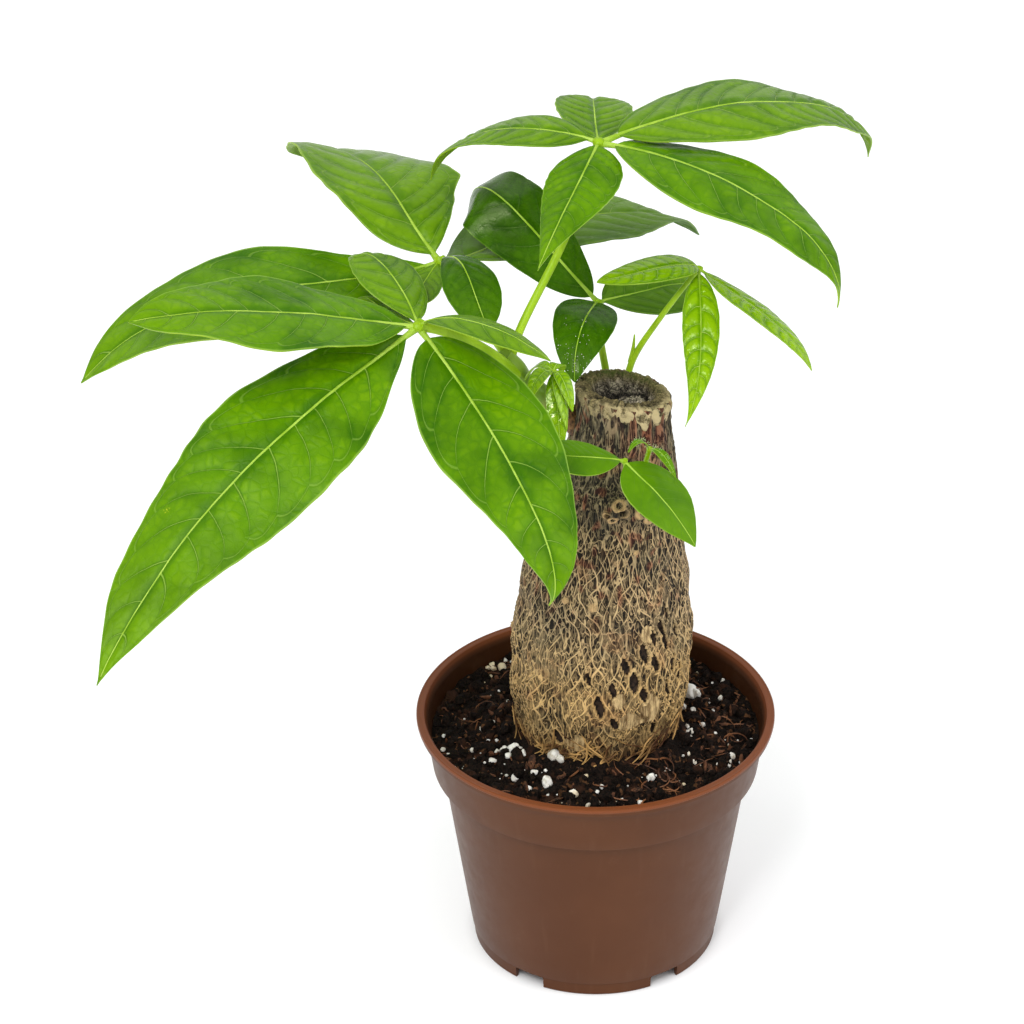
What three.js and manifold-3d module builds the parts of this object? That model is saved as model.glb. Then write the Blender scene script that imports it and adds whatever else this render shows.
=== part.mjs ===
// Potted money tree: a stout sawn-off trunk with shoots of palmate leaves, in soil in a round nursery pot.
// Millimetres, +Z up. The origin is the middle of the pot's underside, on the surface that the pot stands on.
import * as THREE from 'three';
import * as BufferGeometryUtils from 'three/addons/utils/BufferGeometryUtils.js';
import Module from 'manifold-3d';

const wasm = await Module();
wasm.setup();

// ---- Driving dimensions -------------------------------------------------------------------------
const SEAT_GAP = 0.3;                 // clearance between a piece and what carries it

const POT_HEIGHT = 88;
const POT_SIDES = 40;
const RIM_RADIUS = 60;
const RIM_INNER_RADIUS = 57.2;
const LIP_HEIGHT = 2.9;
const COLLAR_TOP_RADIUS = 57.2;
const COLLAR_LOW_RADIUS = 54.8;
const COLLAR_LOW_Z = 68.6;
const BODY_TOP_RADIUS = 51.6;
const BODY_LOW_RADIUS = 42.2;
const FOOT_RADIUS = 41.4;
const FOOT_HEIGHT = 4.8;
const FOOT_INNER_RADIUS = 39.9;
const WALL = 1.4;
const FLOOR_UNDER_Z = 3.4;
const FLOOR_TOP_Z = 5.2;
const PAD_RADIUS = 9;                 // pad under the middle of the floor, level with the foot
const NOTCH_ANGLES = [33.5, 146.5, 213.5, 326.5];   // degrees from the front of the pot
const NOTCH_WIDTH = 11;
const NOTCH_DEPTH = 12;
const DRAIN_RADIUS = 4;
const DRAIN_CIRCLE = 31;
const DRAIN_SIDES = 12;
const EDGE = 0.5;                     // small bevel along the pot's edges

const SOIL_EDGE_Z = 80.5;
const SOIL_MOUND = 3.8;               // how much higher the soil is at the trunk than at the wall
const MOUND_INNER = 24;               // radius inside which the mound is at its full height
const MOUND_OUTER = 52;               // and outside which the soil is level
const LUMP_HEIGHT = 0.7;
const CALM_FROM = 47.5;               // radius from which the lumps die away
const CALM_TO = 53.5;
const SOIL_CORE = 20;                 // radius of the innermost ring, within the trunk's hole
const SOIL_SIDES = 30;
const SOIL_RINGS = 5;
const PERLITE_COUNT = 18;
const PERLITE_INNER = 33;             // perlite lies between these radii
const PERLITE_OUTER = 52;
const PERLITE_SMALL = 1.2;            // radius of the smallest grain
const PERLITE_SPREAD = 1.4;           // how much larger the largest is
const PERLITE_PROUD = 0.35;           // share of its radius by which a grain's middle stands proud

const TRUNK_SIDES = 48;
const TRUNK_BOTTOM_Z = 46;
const TRUNK_TOP_Z = 209.5;
const CUT_TILT = -0.16;               // the sawn top falls towards +X
const CUT_WALL = 4.3;                 // rough ring of wood left round the sunken middle of the cut
const CUT_SWAY = 1.9;                 // how much wider the ring is in front, and narrower behind
const CUT_DEPTH = 3.6;
const CUT_SLOPE = 1.5;                // run of the slope from the rough ring down to the sunken middle
const TILT_FROM = 185;                // height from which the rows of the trunk lean with the cut
const BARK_FROM = 66;                 // height from which the buried foot of the trunk has bark
const FURROWS = 17;                   // furrows round the upper trunk
const FURROW_DEPTH = 0.35;
const NET_MESHES = 6;                 // crossing swells round the lower trunk
const NET_RISE = 0.16;                // how steeply they climb, radians per mm
const NET_DEPTH = 0.8;
const NET_FROM = 25;                  // how far under the top the net begins, and where it is full
const NET_FULL = 75;
// Girth of the trunk: height, middle in X, half-width in X, half-depth in Y.
const TRUNK_STATIONS = [
  { z: 46, x: 0.5, rx: 15, ry: 15 },
  { z: 58, x: 0.5, rx: 21, ry: 21 },
  { z: 72, x: 0.4, rx: 25, ry: 25 },
  { z: 86, x: 0.5, rx: 27.6, ry: 27.4 },
  { z: 102, x: 1.4, rx: 29.4, ry: 29 },
  { z: 118, x: 2.1, rx: 29.8, ry: 29 },
  { z: 132, x: 2.5, rx: 28.6, ry: 27.6 },
  { z: 148, x: 3.2, rx: 26.4, ry: 25.2 },
  { z: 164, x: 4.8, rx: 23, ry: 22 },
  { z: 178, x: 6.6, rx: 20, ry: 19 },
  { z: 190, x: 7.8, rx: 17.2, ry: 16 },
  { z: 200, x: 8.4, rx: 15.4, ry: 14 },
  { z: 209.5, x: 8.6, rx: 15.2, ry: 13.6 },
];
const TRUNK_ROWS = 28;

const BLADE_EDGE = 0.7;               // thickness of a leaflet at its edge
const BLADE_RIB = 1.7;                // and along its midrib
const STALK_PART = 0.04;              // bare part of a leaflet's midrib at the hub
const WAVES = 2.5;                    // waves along a leaflet's edge
const WAVE_FULL_AT = 6;               // half-width from which an edge waves fully
const ARCH_TO_BEND = 4 / 3;           // a cubic curve rises to three quarters of its bend points
const UP = new THREE.Vector3(0, 0, 1);

const SHOOT_LEFT = {
  points: [[-4, 1, 196], [-12, 1, 202], [-22, 0, 211], [-30, -1, 223]],
  from: 4.6,
  to: 3.7,
};
const SHOOT_BACK = { points: [[7, 8, 190], [7.5, 15, 194], [7.5, 18, 200]], from: 3, to: 2.8 };

// ---- Materials ----------------------------------------------------------------------------------
function paint(color, roughness) {
  return new THREE.MeshStandardMaterial({ color, roughness, metalness: 0 });
}
const POT_PLASTIC = paint(0x6b4a36, 0.5);
const PEAT = paint(0x241a12, 0.95);
const BARK = paint(0x6e5a42, 0.9);
const GREEN_STEM = paint(0x7ea82c, 0.5);
const LEAF_MID = paint(0x58961a, 0.4);
const LEAF_DARK = paint(0x2f6a1c, 0.35);
const LEAF_LIME = paint(0x86b822, 0.35);

// ---- Solids -------------------------------------------------------------------------------------
function toSolid(geometry) {
  const plain = geometry.clone();
  plain.deleteAttribute('normal');
  plain.deleteAttribute('uv');
  const merged = BufferGeometryUtils.mergeVertices(plain, 1e-4);
  return new wasm.Manifold(new wasm.Mesh({
    numProp: 3,
    vertProperties: new Float32Array(merged.attributes.position.array),
    triVerts: new Uint32Array(merged.index.array),
  }));
}

function toGeometry(solid) {
  const mesh = solid.getMesh();
  const geometry = new THREE.BufferGeometry();
  geometry.setAttribute('position', new THREE.BufferAttribute(new Float32Array(mesh.vertProperties), 3));
  geometry.setIndex(new THREE.BufferAttribute(new Uint32Array(mesh.triVerts), 1));
  geometry.computeVertexNormals();
  return geometry;
}

// The largest closed skin of a joined solid: sealed hollows are filled and loose scraps dropped.
function outerSkin(solid) {
  const bodies = solid.decompose();
  let best = bodies[0];
  for (const body of bodies) {
    if (body.volume() > best.volume()) best = body;
  }
  return best;
}

// A closed surface through rows of points, each row a loop, with both ends closed to their middle.
// Quads split along one diagonal, or along the other one where flip says so.
function loftSolid(rows, flip = () => false) {
  const count = rows[0].length;
  const positions = [];
  const index = [];
  for (const row of rows) {
    for (const point of row) positions.push(point.x, point.y, point.z);
  }
  for (let r = 0; r + 1 < rows.length; r += 1) {
    for (let c = 0; c < count; c += 1) {
      const a = r * count + c;
      const b = r * count + ((c + 1) % count);
      if (flip(c)) index.push(a, b, a + count, b, b + count, a + count);
      else index.push(a, b, b + count, a, b + count, a + count);
    }
  }
  for (const end of [0, rows.length - 1]) {
    const middle = new THREE.Vector3();
    for (const point of rows[end]) middle.addScaledVector(point, 1 / count);
    const tip = positions.length / 3;
    positions.push(middle.x, middle.y, middle.z);
    for (let c = 0; c < count; c += 1) {
      const a = end * count + c;
      const b = end * count + ((c + 1) % count);
      if (end === 0) index.push(b, a, tip);
      else index.push(a, b, tip);
    }
  }
  const geometry = new THREE.BufferGeometry();
  geometry.setAttribute('position', new THREE.BufferAttribute(new Float32Array(positions), 3));
  geometry.setIndex(index);
  const solid = toSolid(geometry);
  if (solid.volume() > 0) return solid;
  geometry.setIndex(index.reverse());
  return toSolid(geometry);
}

function vec(list) {
  return new THREE.Vector3(list[0], list[1], list[2]);
}

// A repeatable sequence of numbers from 0 to 1.
function seededRandom(seed) {
  let state = seed;
  return () => {
    state = (state * 16807) % 2147483647;
    return state / 2147483647;
  };
}

// A round stalk along a smooth path, its radius running evenly from startRadius to endRadius.
function stalk(points, startRadius, endRadius, steps = 5, sides = 3) {
  const path = new THREE.CatmullRomCurve3(points.map(vec));
  const section = new THREE.Shape();
  section.absarc(0, 0, 1, 0, Math.PI * 2, false);
  const geometry = new THREE.ExtrudeGeometry(section, {
    steps,
    curveSegments: sides,
    extrudePath: path,
    bevelEnabled: false,
  });
  const middles = path.getSpacedPoints(steps);
  const positions = geometry.attributes.position;
  const point = new THREE.Vector3();
  for (let i = 0; i < positions.count; i += 1) {
    point.fromBufferAttribute(positions, i);
    let nearest = 0;
    for (let m = 1; m < middles.length; m += 1) {
      const offset = Math.abs(point.distanceTo(middles[m]) - 1);
      if (offset < Math.abs(point.distanceTo(middles[nearest]) - 1)) nearest = m;
    }
    const radius = startRadius + (endRadius - startRadius) * nearest / steps;
    point.sub(middles[nearest]).multiplyScalar(radius).add(middles[nearest]);
    positions.setXYZ(i, point.x, point.y, point.z);
  }
  return toSolid(geometry);
}

function ball(centre, radius) {
  const geometry = new THREE.SphereGeometry(radius, 8, 6);
  geometry.translate(centre[0], centre[1], centre[2]);
  return toSolid(geometry);
}

// ---- Pot ----------------------------------------------------------------------------------------
function buildPot() {
  const bodySlope = (BODY_TOP_RADIUS - BODY_LOW_RADIUS) / (COLLAR_LOW_Z - FOOT_HEIGHT);
  const innerLow = BODY_LOW_RADIUS - WALL + bodySlope * (FLOOR_TOP_Z - FOOT_HEIGHT);
  const lipLowZ = POT_HEIGHT - LIP_HEIGHT;
  const profile = [
    [0, 0],
    [PAD_RADIUS, 0],
    [PAD_RADIUS + 1, FLOOR_UNDER_Z],
    [FOOT_INNER_RADIUS, FLOOR_UNDER_Z],
    [FOOT_INNER_RADIUS, 0],
    [FOOT_RADIUS - EDGE, 0],
    [FOOT_RADIUS, EDGE],
    [FOOT_RADIUS + EDGE / 2, FOOT_HEIGHT],
    [BODY_LOW_RADIUS, FOOT_HEIGHT + EDGE],
    [BODY_TOP_RADIUS, COLLAR_LOW_Z - EDGE / 2],
    [COLLAR_LOW_RADIUS - EDGE, COLLAR_LOW_Z],
    [COLLAR_LOW_RADIUS, COLLAR_LOW_Z + EDGE],
    [COLLAR_TOP_RADIUS, lipLowZ - EDGE / 2],
    [RIM_RADIUS - EDGE, lipLowZ],
    [RIM_RADIUS, lipLowZ + EDGE],
    [RIM_RADIUS, POT_HEIGHT - EDGE],
    [RIM_RADIUS - EDGE, POT_HEIGHT],
    [RIM_INNER_RADIUS + EDGE, POT_HEIGHT],
    [RIM_INNER_RADIUS, POT_HEIGHT - EDGE],
    [COLLAR_TOP_RADIUS - WALL, lipLowZ - EDGE],
    [COLLAR_LOW_RADIUS - WALL, COLLAR_LOW_Z + EDGE],
    [BODY_TOP_RADIUS - WALL, COLLAR_LOW_Z - 2 * WALL],
    [innerLow, FLOOR_TOP_Z],
    [0, FLOOR_TOP_Z],
  ];
  const outline = profile.map(([radius, z]) => new THREE.Vector2(radius, z));
  const lathe = new THREE.LatheGeometry(outline, POT_SIDES);
  lathe.rotateX(Math.PI / 2);
  let pot = toSolid(lathe);
  for (const angle of NOTCH_ANGLES) {
    const turn = THREE.MathUtils.degToRad(angle);
    const notch = new THREE.BoxGeometry(NOTCH_WIDTH, NOTCH_DEPTH, 2 * FOOT_HEIGHT);
    notch.translate(0, -FOOT_RADIUS, 0);
    notch.rotateZ(turn);
    pot = pot.subtract(toSolid(notch));
    const drain = new THREE.CylinderGeometry(DRAIN_RADIUS, DRAIN_RADIUS, 2 * FLOOR_TOP_Z, DRAIN_SIDES);
    drain.rotateX(Math.PI / 2);
    drain.translate(0, -DRAIN_CIRCLE, FLOOR_TOP_Z);
    drain.rotateZ(turn);
    pot = pot.subtract(toSolid(drain));
  }
  return pot;
}

// ---- Trunk --------------------------------------------------------------------------------------
// The trunk's girth at a height, read between its stations with a smooth step-free blend.
function trunkGirth(z) {
  const stations = TRUNK_STATIONS;
  let i = 0;
  while (i + 2 < stations.length && z > stations[i + 1].z) i += 1;
  const low = stations[i];
  const high = stations[i + 1];
  const t = THREE.MathUtils.clamp((z - low.z) / (high.z - low.z), 0, 1);
  const blend = THREE.MathUtils.lerp;
  return { x: blend(low.x, high.x, t), rx: blend(low.rx, high.rx, t), ry: blend(low.ry, high.ry, t) };
}

// The swelling of the bark: long furrows above, an open net of crossing swells below.
function barkRelief(angle, z) {
  const netShare = THREE.MathUtils.smoothstep(TRUNK_TOP_Z - z, NET_FROM, NET_FULL);
  const furrows = Math.sin(angle * FURROWS + 1.5 * Math.sin(z * 0.06));
  const climb = z * NET_RISE;
  const net = Math.sin(angle * NET_MESHES + climb) * Math.sin(angle * NET_MESHES - climb + 1);
  return FURROW_DEPTH * (1 - netShare) * furrows + NET_DEPTH * netShare * net;
}

// Scars of old side branches, a cluster of knots on the front of the trunk.
const KNOTS = [
  { angle: -82, z: 180, radius: 5, height: 2 },
  { angle: -100, z: 178, radius: 4.5, height: 1.5 },
  { angle: -65, z: 175, radius: 5, height: 1.5 },
];

function knotRelief(angle, z, radius) {
  let height = 0;
  for (const knot of KNOTS) {
    const arc = (angle - THREE.MathUtils.degToRad(knot.angle)) * radius;
    const distance = Math.hypot(arc, z - knot.z) / knot.radius;
    height += knot.height * Math.exp(-distance * distance);
  }
  return height;
}

// One ring of the trunk, set in by inset, and by sway more in front and less behind.
function trunkRow(z, inset, drop, rough, sway = 0) {
  const row = [];
  const { x, rx, ry } = trunkGirth(z);
  const tiltShare = THREE.MathUtils.smoothstep(z, TILT_FROM, TRUNK_TOP_Z);
  for (let c = 0; c < TRUNK_SIDES; c += 1) {
    const angle = -Math.PI + 2 * Math.PI * c / TRUNK_SIDES;
    const relief = rough ? barkRelief(angle, z) + knotRelief(angle, z, rx) : 0;
    const grow = relief - inset + sway * Math.sin(angle);
    const px = (rx + grow) * Math.cos(angle);
    const py = (ry + grow) * Math.sin(angle);
    row.push(new THREE.Vector3(x + px, py, z - drop + CUT_TILT * px * tiltShare));
  }
  return row;
}

function buildTrunk(grow = 0) {
  const rows = [];
  for (let r = 0; r < TRUNK_ROWS; r += 1) {
    const z = THREE.MathUtils.lerp(TRUNK_BOTTOM_Z, TRUNK_TOP_Z, r / (TRUNK_ROWS - 1));
    const lowest = r === 0;
    rows.push(trunkRow(z, -grow, lowest ? grow : 0, z > BARK_FROM));
  }
  if (grow > 0) {
    rows.push(trunkRow(TRUNK_TOP_Z, -grow, -grow, true));
    return loftSolid(rows);
  }
  rows.push(trunkRow(TRUNK_TOP_Z, 2 * EDGE, -EDGE, false));
  rows.push(trunkRow(TRUNK_TOP_Z, CUT_WALL, 0, false, CUT_SWAY));
  rows.push(trunkRow(TRUNK_TOP_Z, CUT_WALL + CUT_SLOPE, CUT_DEPTH, false, CUT_SWAY));
  return loftSolid(rows);
}

// ---- Soil ---------------------------------------------------------------------------------------
function soilHeight(radius, angle) {
  const share = THREE.MathUtils.smoothstep(radius, MOUND_INNER, MOUND_OUTER);
  const lumps = Math.sin(angle * 5 + radius * 0.35) + 0.7 * Math.sin(angle * 9 - radius * 0.6 + 1);
  const rough = 1 - THREE.MathUtils.smoothstep(radius, CALM_FROM, CALM_TO);
  return SOIL_EDGE_Z + SOIL_MOUND * (1 - share) + LUMP_HEIGHT * lumps * rough;
}

function soilRing(radius, z) {
  const row = [];
  for (let c = 0; c < SOIL_SIDES; c += 1) {
    const angle = 2 * Math.PI * c / SOIL_SIDES;
    const height = z === undefined ? soilHeight(radius, angle) : z;
    row.push(new THREE.Vector3(radius * Math.cos(angle), radius * Math.sin(angle), height));
  }
  return row;
}

function buildSoil(trunkHole) {
  const slope = (COLLAR_TOP_RADIUS - COLLAR_LOW_RADIUS) / (POT_HEIGHT - LIP_HEIGHT - COLLAR_LOW_Z);
  const clear = WALL + 2 * SEAT_GAP;
  const edgeRadius = COLLAR_LOW_RADIUS - clear + slope * (SOIL_EDGE_Z - COLLAR_LOW_Z);
  const rows = [
    soilRing(SOIL_CORE, FLOOR_TOP_Z + SEAT_GAP),
    soilRing(BODY_LOW_RADIUS - clear, FLOOR_TOP_Z + SEAT_GAP),
    soilRing(BODY_TOP_RADIUS - clear, COLLAR_LOW_Z - 2 * WALL),
    soilRing(COLLAR_LOW_RADIUS - clear, COLLAR_LOW_Z + 2 * EDGE),
    soilRing(edgeRadius, SOIL_EDGE_Z),
  ];
  for (let r = 0; r < SOIL_RINGS; r += 1) {
    rows.push(soilRing(THREE.MathUtils.lerp(edgeRadius - 1, SOIL_CORE, r / (SOIL_RINGS - 1))));
  }
  let soil = loftSolid(rows);
  const random = seededRandom(41);
  for (let i = 0; i < PERLITE_COUNT; i += 1) {
    const angle = 2 * Math.PI * random();
    const radius = THREE.MathUtils.lerp(PERLITE_INNER, PERLITE_OUTER, random());
    const size = PERLITE_SMALL + PERLITE_SPREAD * random() * random();
    const grain = new THREE.IcosahedronGeometry(size, 0);
    grain.rotateX(2 * Math.PI * random());
    const level = soilHeight(radius, angle) + size * PERLITE_PROUD;
    grain.translate(radius * Math.cos(angle), radius * Math.sin(angle), level);
    soil = soil.add(toSolid(grain));
  }
  return outerSkin(soil.subtract(trunkHole));
}

// ---- Leaves -------------------------------------------------------------------------------------
// Share of a leaflet's half-width at t along it, pointed at both ends.
function bladeShare(t, widest, full) {
  const u = THREE.MathUtils.clamp((t - STALK_PART) / (1 - STALK_PART), 0, 1);
  const a = full * widest;
  const b = full - a;
  return (u ** a * (1 - u) ** b) / (widest ** a * (1 - widest) ** b);
}

// The midrib's curve, through its two bend points or, without them, in a plain upright arch.
function midribCurve(start, spec) {
  const tip = vec(spec.tip);
  if (spec.bend) return new THREE.CubicBezierCurve3(start, vec(spec.bend[0]), vec(spec.bend[1]), tip);
  const lift = new THREE.Vector3(0, 0, ARCH_TO_BEND * spec.arch);
  const near = start.clone().lerp(tip, 1 / 3).add(lift);
  const far = start.clone().lerp(tip, 2 / 3).add(lift);
  return new THREE.CubicBezierCurve3(start, near, far, tip);
}

// One leaflet: its halves fold up or down from the midrib, turn with it and wave at the edge.
function leaflet(hub, spec) {
  const { width, widest = 0.5, full = 1.7, roll = 0, twist = 0, fold = 0, wave = 0 } = spec;
  const { rows = 10, columns = 4 } = spec;
  const start = vec(hub);
  const curve = midribCurve(start, spec);
  const level = new THREE.Vector3().crossVectors(vec(spec.tip).sub(start), UP).normalize();
  const foldAngle = THREE.MathUtils.degToRad(fold);
  const loops = [];
  for (let r = 0; r <= rows; r += 1) {
    const t = r / rows;
    const middle = curve.getPoint(t);
    const tangent = curve.getTangent(t);
    const across = level.clone().addScaledVector(tangent, -level.dot(tangent)).normalize();
    across.applyAxisAngle(tangent, THREE.MathUtils.degToRad(roll + twist * t));
    const normal = new THREE.Vector3().crossVectors(across, tangent);
    const half = Math.max(0.5 * width * bladeShare(t, widest, full), BLADE_EDGE);
    const top = [];
    const bottom = [];
    for (let c = 0; c <= columns; c += 1) {
      const s = 2 * c / columns - 1;
      const far = Math.abs(s);
      const phase = s > 0 ? 0 : 2;
      const swell = wave * Math.min(1, half / WAVE_FULL_AT);
      const ripple = swell * s * s * Math.sin(2 * Math.PI * WAVES * t + phase);
      const point = middle.clone()
        .addScaledVector(across, s * half * Math.cos(foldAngle))
        .addScaledVector(normal, far * half * Math.sin(foldAngle) + ripple);
      const thick = THREE.MathUtils.lerp(BLADE_RIB, BLADE_EDGE, Math.min(1, far * 2));
      top.push(point.clone().addScaledVector(normal, BLADE_EDGE / 2));
      bottom.push(point.addScaledVector(normal, BLADE_EDGE / 2 - thick));
    }
    loops.push([...top, ...bottom.reverse()]);
  }
  return loftSolid(loops, (c) => c > columns);
}

function buildLeaf(plan, seats) {
  let leaf = ball(plan.hub, plan.hubRadius);
  for (const { points, from, to } of plan.stalks) {
    leaf = leaf.add(stalk(points, from, to));
  }
  for (const spec of plan.leaflets) {
    leaf = leaf.add(leaflet(plan.hub, spec));
  }
  for (const seat of seats) {
    leaf = leaf.subtract(seat);
  }
  return outerSkin(leaf);
}

// Each leaf: its hub, its stalk or stalks, and its leaflets. A leaflet's midrib is a cubic curve from
// the hub to its tip, drawn by two bend points or by a plain arch; full and widest shape its outline.
const LEAVES = [
  {
    name: 'leaf_front_left', material: LEAF_MID, hub: [-56, -20, 244], hubRadius: 2.6, seats: ['shoot'],
    stalks: [
      { points: [[-26, -2, 217], [-35, -8, 228], [-47, -15, 239], [-56, -20, 244]], from: 2.3, to: 1.7 },
    ],
    leaflets: [
      { tip: [-153, -110, 170], bend: [[-86, -51, 234], [-126, -75, 218]], width: 46, widest: 0.46,
        full: 2.1, roll: -26, twist: 17, fold: -5, wave: 1.2, rows: 11 },
      { tip: [-143, -50, 262], bend: [[-85, -30, 253], [-113, -40, 264]], width: 38, widest: 0.48,
        full: 1.7, roll: -9, fold: -2, wave: 1 },
      { tip: [-16, -85, 181], bend: [[-32, -50, 224], [-7, -89, 196]], width: 40, widest: 0.3, full: 2.2,
        roll: 7, twist: -12, fold: -2, wave: 1, rows: 11 },
      { tip: [-15, -38, 241], bend: [[-47, -24, 254], [-26, -32, 248]], width: 16, widest: 0.52, full: 2.2,
        roll: -3, twist: -7, fold: -12 },
      { tip: [-79, 23, 245], bend: [[-59, -3, 246], [-71, 14, 260]], width: 22, widest: 0.46, full: 2.2,
        roll: 15, twist: -14, fold: -12 },
      { tip: [-74, 4, 242], bend: [[-65, -9, 241], [-72, 0, 244]], width: 10, widest: 0.55, full: 1.7,
        roll: 10, fold: -2, rows: 8 },
    ],
  },
  {
    name: 'leaf_back_left', material: LEAF_MID, hub: [-50, 25, 244], hubRadius: 2.4, seats: ['shoot'],
    stalks: [
      { points: [[-24, 2, 214], [-33, 8.5, 226], [-42, 18, 238], [-50, 25, 244]], from: 2.1, to: 1.6 },
    ],
    leaflets: [
      { tip: [-101, 97, 252], bend: [[-68, 45, 252], [-70, 63, 272]], width: 47, widest: 0.5, full: 1.25,
        roll: -12, twist: 40, fold: 5, wave: 0.8 },
      { tip: [-165, 0, 214], bend: [[-78, 17, 236], [-131, 10, 252]], width: 44, widest: 0.52, full: 2.2,
        roll: -4, twist: -5, fold: 2, wave: 1, rows: 11 },
      { tip: [-60, 2, 239], bend: [[-54, 15, 243], [-57, 8, 241]], width: 14, widest: 0.58, full: 1.6,
        roll: 5, fold: -3, rows: 7 },
      { tip: [-34, -12, 238], bend: [[-41, 8, 259], [-40, 0, 245]], width: 19, widest: 0.6, full: 1.9,
        roll: -3, fold: -4, rows: 10 },
      { tip: [37, 93, 219], bend: [[-38, 61, 225], [5, 89, 245]], width: 43, widest: 0.56, full: 2.4,
        roll: 0, twist: -8, fold: 0, wave: 0.8 },
    ],
  },
  {
    name: 'leaf_top_right', material: LEAF_MID, hub: [1, 30, 283], hubRadius: 2.4, seats: ['shoot'],
    stalks: [
      { points: [[-28, -0.5, 220], [-21.5, 4, 232], [-7.6, 18, 253.5], [-1, 27, 272], [1, 30, 283]],
        from: 2.1, to: 1.5 },
    ],
    leaflets: [
      { tip: [91, 70, 259], bend: [[55, 49, 296], [92, 67, 281]], width: 37, widest: 0.3, full: 2,
        roll: 7, twist: -9, fold: -6, wave: 0.8, rows: 11 },
      { tip: [76, -5, 241], bend: [[44, 10, 282], [80, -7, 262]], width: 35, widest: 0.3, full: 2.4,
        roll: 4, twist: -4, fold: -7, wave: 0.8, rows: 11 },
      { tip: [-19, -20, 263], bend: [[-4, 12, 281], [-11, -1, 274]], width: 25, widest: 0.31, full: 1.9,
        roll: 1, twist: 6, fold: -14 },
      { tip: [-53, 45, 263], bend: [[-24, 37, 289], [-48, 43, 283]], width: 22, widest: 0.37, full: 2,
        roll: -15, twist: 40, fold: -5 },
      { tip: [0, 76, 275], bend: [[0, 45, 281], [0, 64, 288]], width: 25, widest: 0.52, full: 1.6,
        roll: 6, fold: 0 },
    ],
  },
  {
    name: 'leaf_behind_trunk', material: LEAF_DARK, hub: [1, 32, 225], hubRadius: 2, seats: ['stub'],
    stalks: [
      { points: [[5.3, 18.5, 196.5], [4, 21, 208], [2, 27, 218], [1, 32, 225]], from: 1.3, to: 1.1 },
    ],
    leaflets: [
      { tip: [-40, 66, 247], bend: [[-13, 41, 236], [-36, 42, 273]], width: 31, widest: 0.62, full: 1.1,
        roll: -31, twist: 13, fold: -22, wave: 0.4 },
      { tip: [37, 52, 219], bend: [[14, 39, 224], [29, 47, 227]], width: 28, widest: 0.47, full: 1.6,
        roll: 9, twist: 7, fold: -1, rows: 9 },
      { tip: [-7, -1, 213], bend: [[-2, 21, 229], [-8, 5, 226]], width: 20, widest: 0.36, full: 1.3,
        roll: -9, twist: -9, fold: 0, rows: 9 },
    ],
  },
  {
    name: 'leaf_young_right', material: LEAF_LIME, hub: [33, 20, 243], hubRadius: 1.6, seats: ['stub'],
    stalks: [
      { points: [[9.2, 18, 197], [13, 20, 210], [22, 20, 225], [33, 20, 243]], from: 1.4, to: 0.9 },
      { points: [[12, 20, 209], [13, 20, 214], [13.5, 20, 219]], from: 1.1, to: 0.5 },
    ],
    leaflets: [
      { tip: [0, 5, 246], bend: [[30, 19, 248], [12, 10, 246]], width: 14, widest: 0.43, full: 1.4,
        roll: -8, fold: -4, rows: 8 },
      { tip: [27, -30, 213], bend: [[33, 1, 233], [34, -15, 221]], width: 12, widest: 0.32, full: 2,
        fold: -3, rows: 10 },
      { tip: [67, -20, 227], bend: [[46, 4, 240], [62, -13, 238]], width: 12, widest: 0.43, full: 1.8,
        roll: -11, twist: -12, fold: -6, rows: 9 },
    ],
  },
  {
    name: 'leaf_cluster_new', material: LEAF_LIME, hub: [-14, -10, 222], hubRadius: 1.4,
    seats: ['shoot', 'trunk'],
    stalks: [
      { points: [[-14, -1, 205], [-14, -6, 213], [-14, -10, 222]], from: 1.1, to: 0.9 },
    ],
    leaflets: [
      { tip: [-12, -26, 206.5], arch: 4, width: 8.5, full: 1.5, fold: -5, rows: 7, columns: 2 },
      { tip: [-22, -20, 217], arch: 4, width: 6, full: 1.5, fold: 8, rows: 6, columns: 2 },
      { tip: [-8, -20, 213], arch: 4, width: 5, full: 1.5, fold: 8, rows: 6, columns: 2 },
      { tip: [-23, -4, 216], arch: 4, width: 5, full: 1.5, fold: 0, rows: 6, columns: 2 },
      { tip: [-11, -3, 218], arch: 3, width: 5, full: 1.5, fold: 0, rows: 6, columns: 2 },
    ],
  },
  {
    name: 'leaf_on_trunk', material: LEAF_MID, hub: [8, -32, 202], hubRadius: 1.1, seats: ['trunk'],
    stalks: [
      { points: [[12, -18, 179], [12, -27, 188], [9, -31, 197], [8, -32, 202]], from: 1.1, to: 0.8 },
    ],
    leaflets: [
      { tip: [-19, -43, 211], bend: [[-1, -36, 206], [-10, -40, 208]], width: 15, widest: 0.52, full: 1.6,
        roll: -15, twist: -10, fold: -5, rows: 8 },
      { tip: [30, -50, 181], bend: [[15, -38, 197], [24, -45, 192]], width: 22, widest: 0.4, full: 1.6,
        fold: -3, rows: 9 },
    ],
  },
  {
    name: 'sprout_hairy', material: LEAF_LIME, hub: [16, -30, 205], hubRadius: 0.9, seats: ['trunk'],
    stalks: [
      { points: [[16, -19, 181], [15.5, -26, 192], [15, -28, 199], [16, -30, 205]], from: 1, to: 0.8 },
    ],
    leaflets: [
      { tip: [9, -34, 206], arch: 3.5, width: 2.6, fold: 0, rows: 5, columns: 2 },
      { tip: [24, -38, 199], arch: 3, width: 3.6, fold: 0, rows: 5, columns: 2 },
    ],
  },
];

// ---- The whole plant ----------------------------------------------------------------------------
const plant = new THREE.Group();

function addPiece(name, solid, material) {
  const mesh = new THREE.Mesh(toGeometry(solid), material);
  mesh.name = name;
  plant.add(mesh);
}

// A woody shoot, thinning from the trunk outward, grown by a clearance where it is used to cut a seat.
function buildShoot(plan, grow = 0) {
  return stalk(plan.points, plan.from + grow, plan.to + grow);
}

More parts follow.
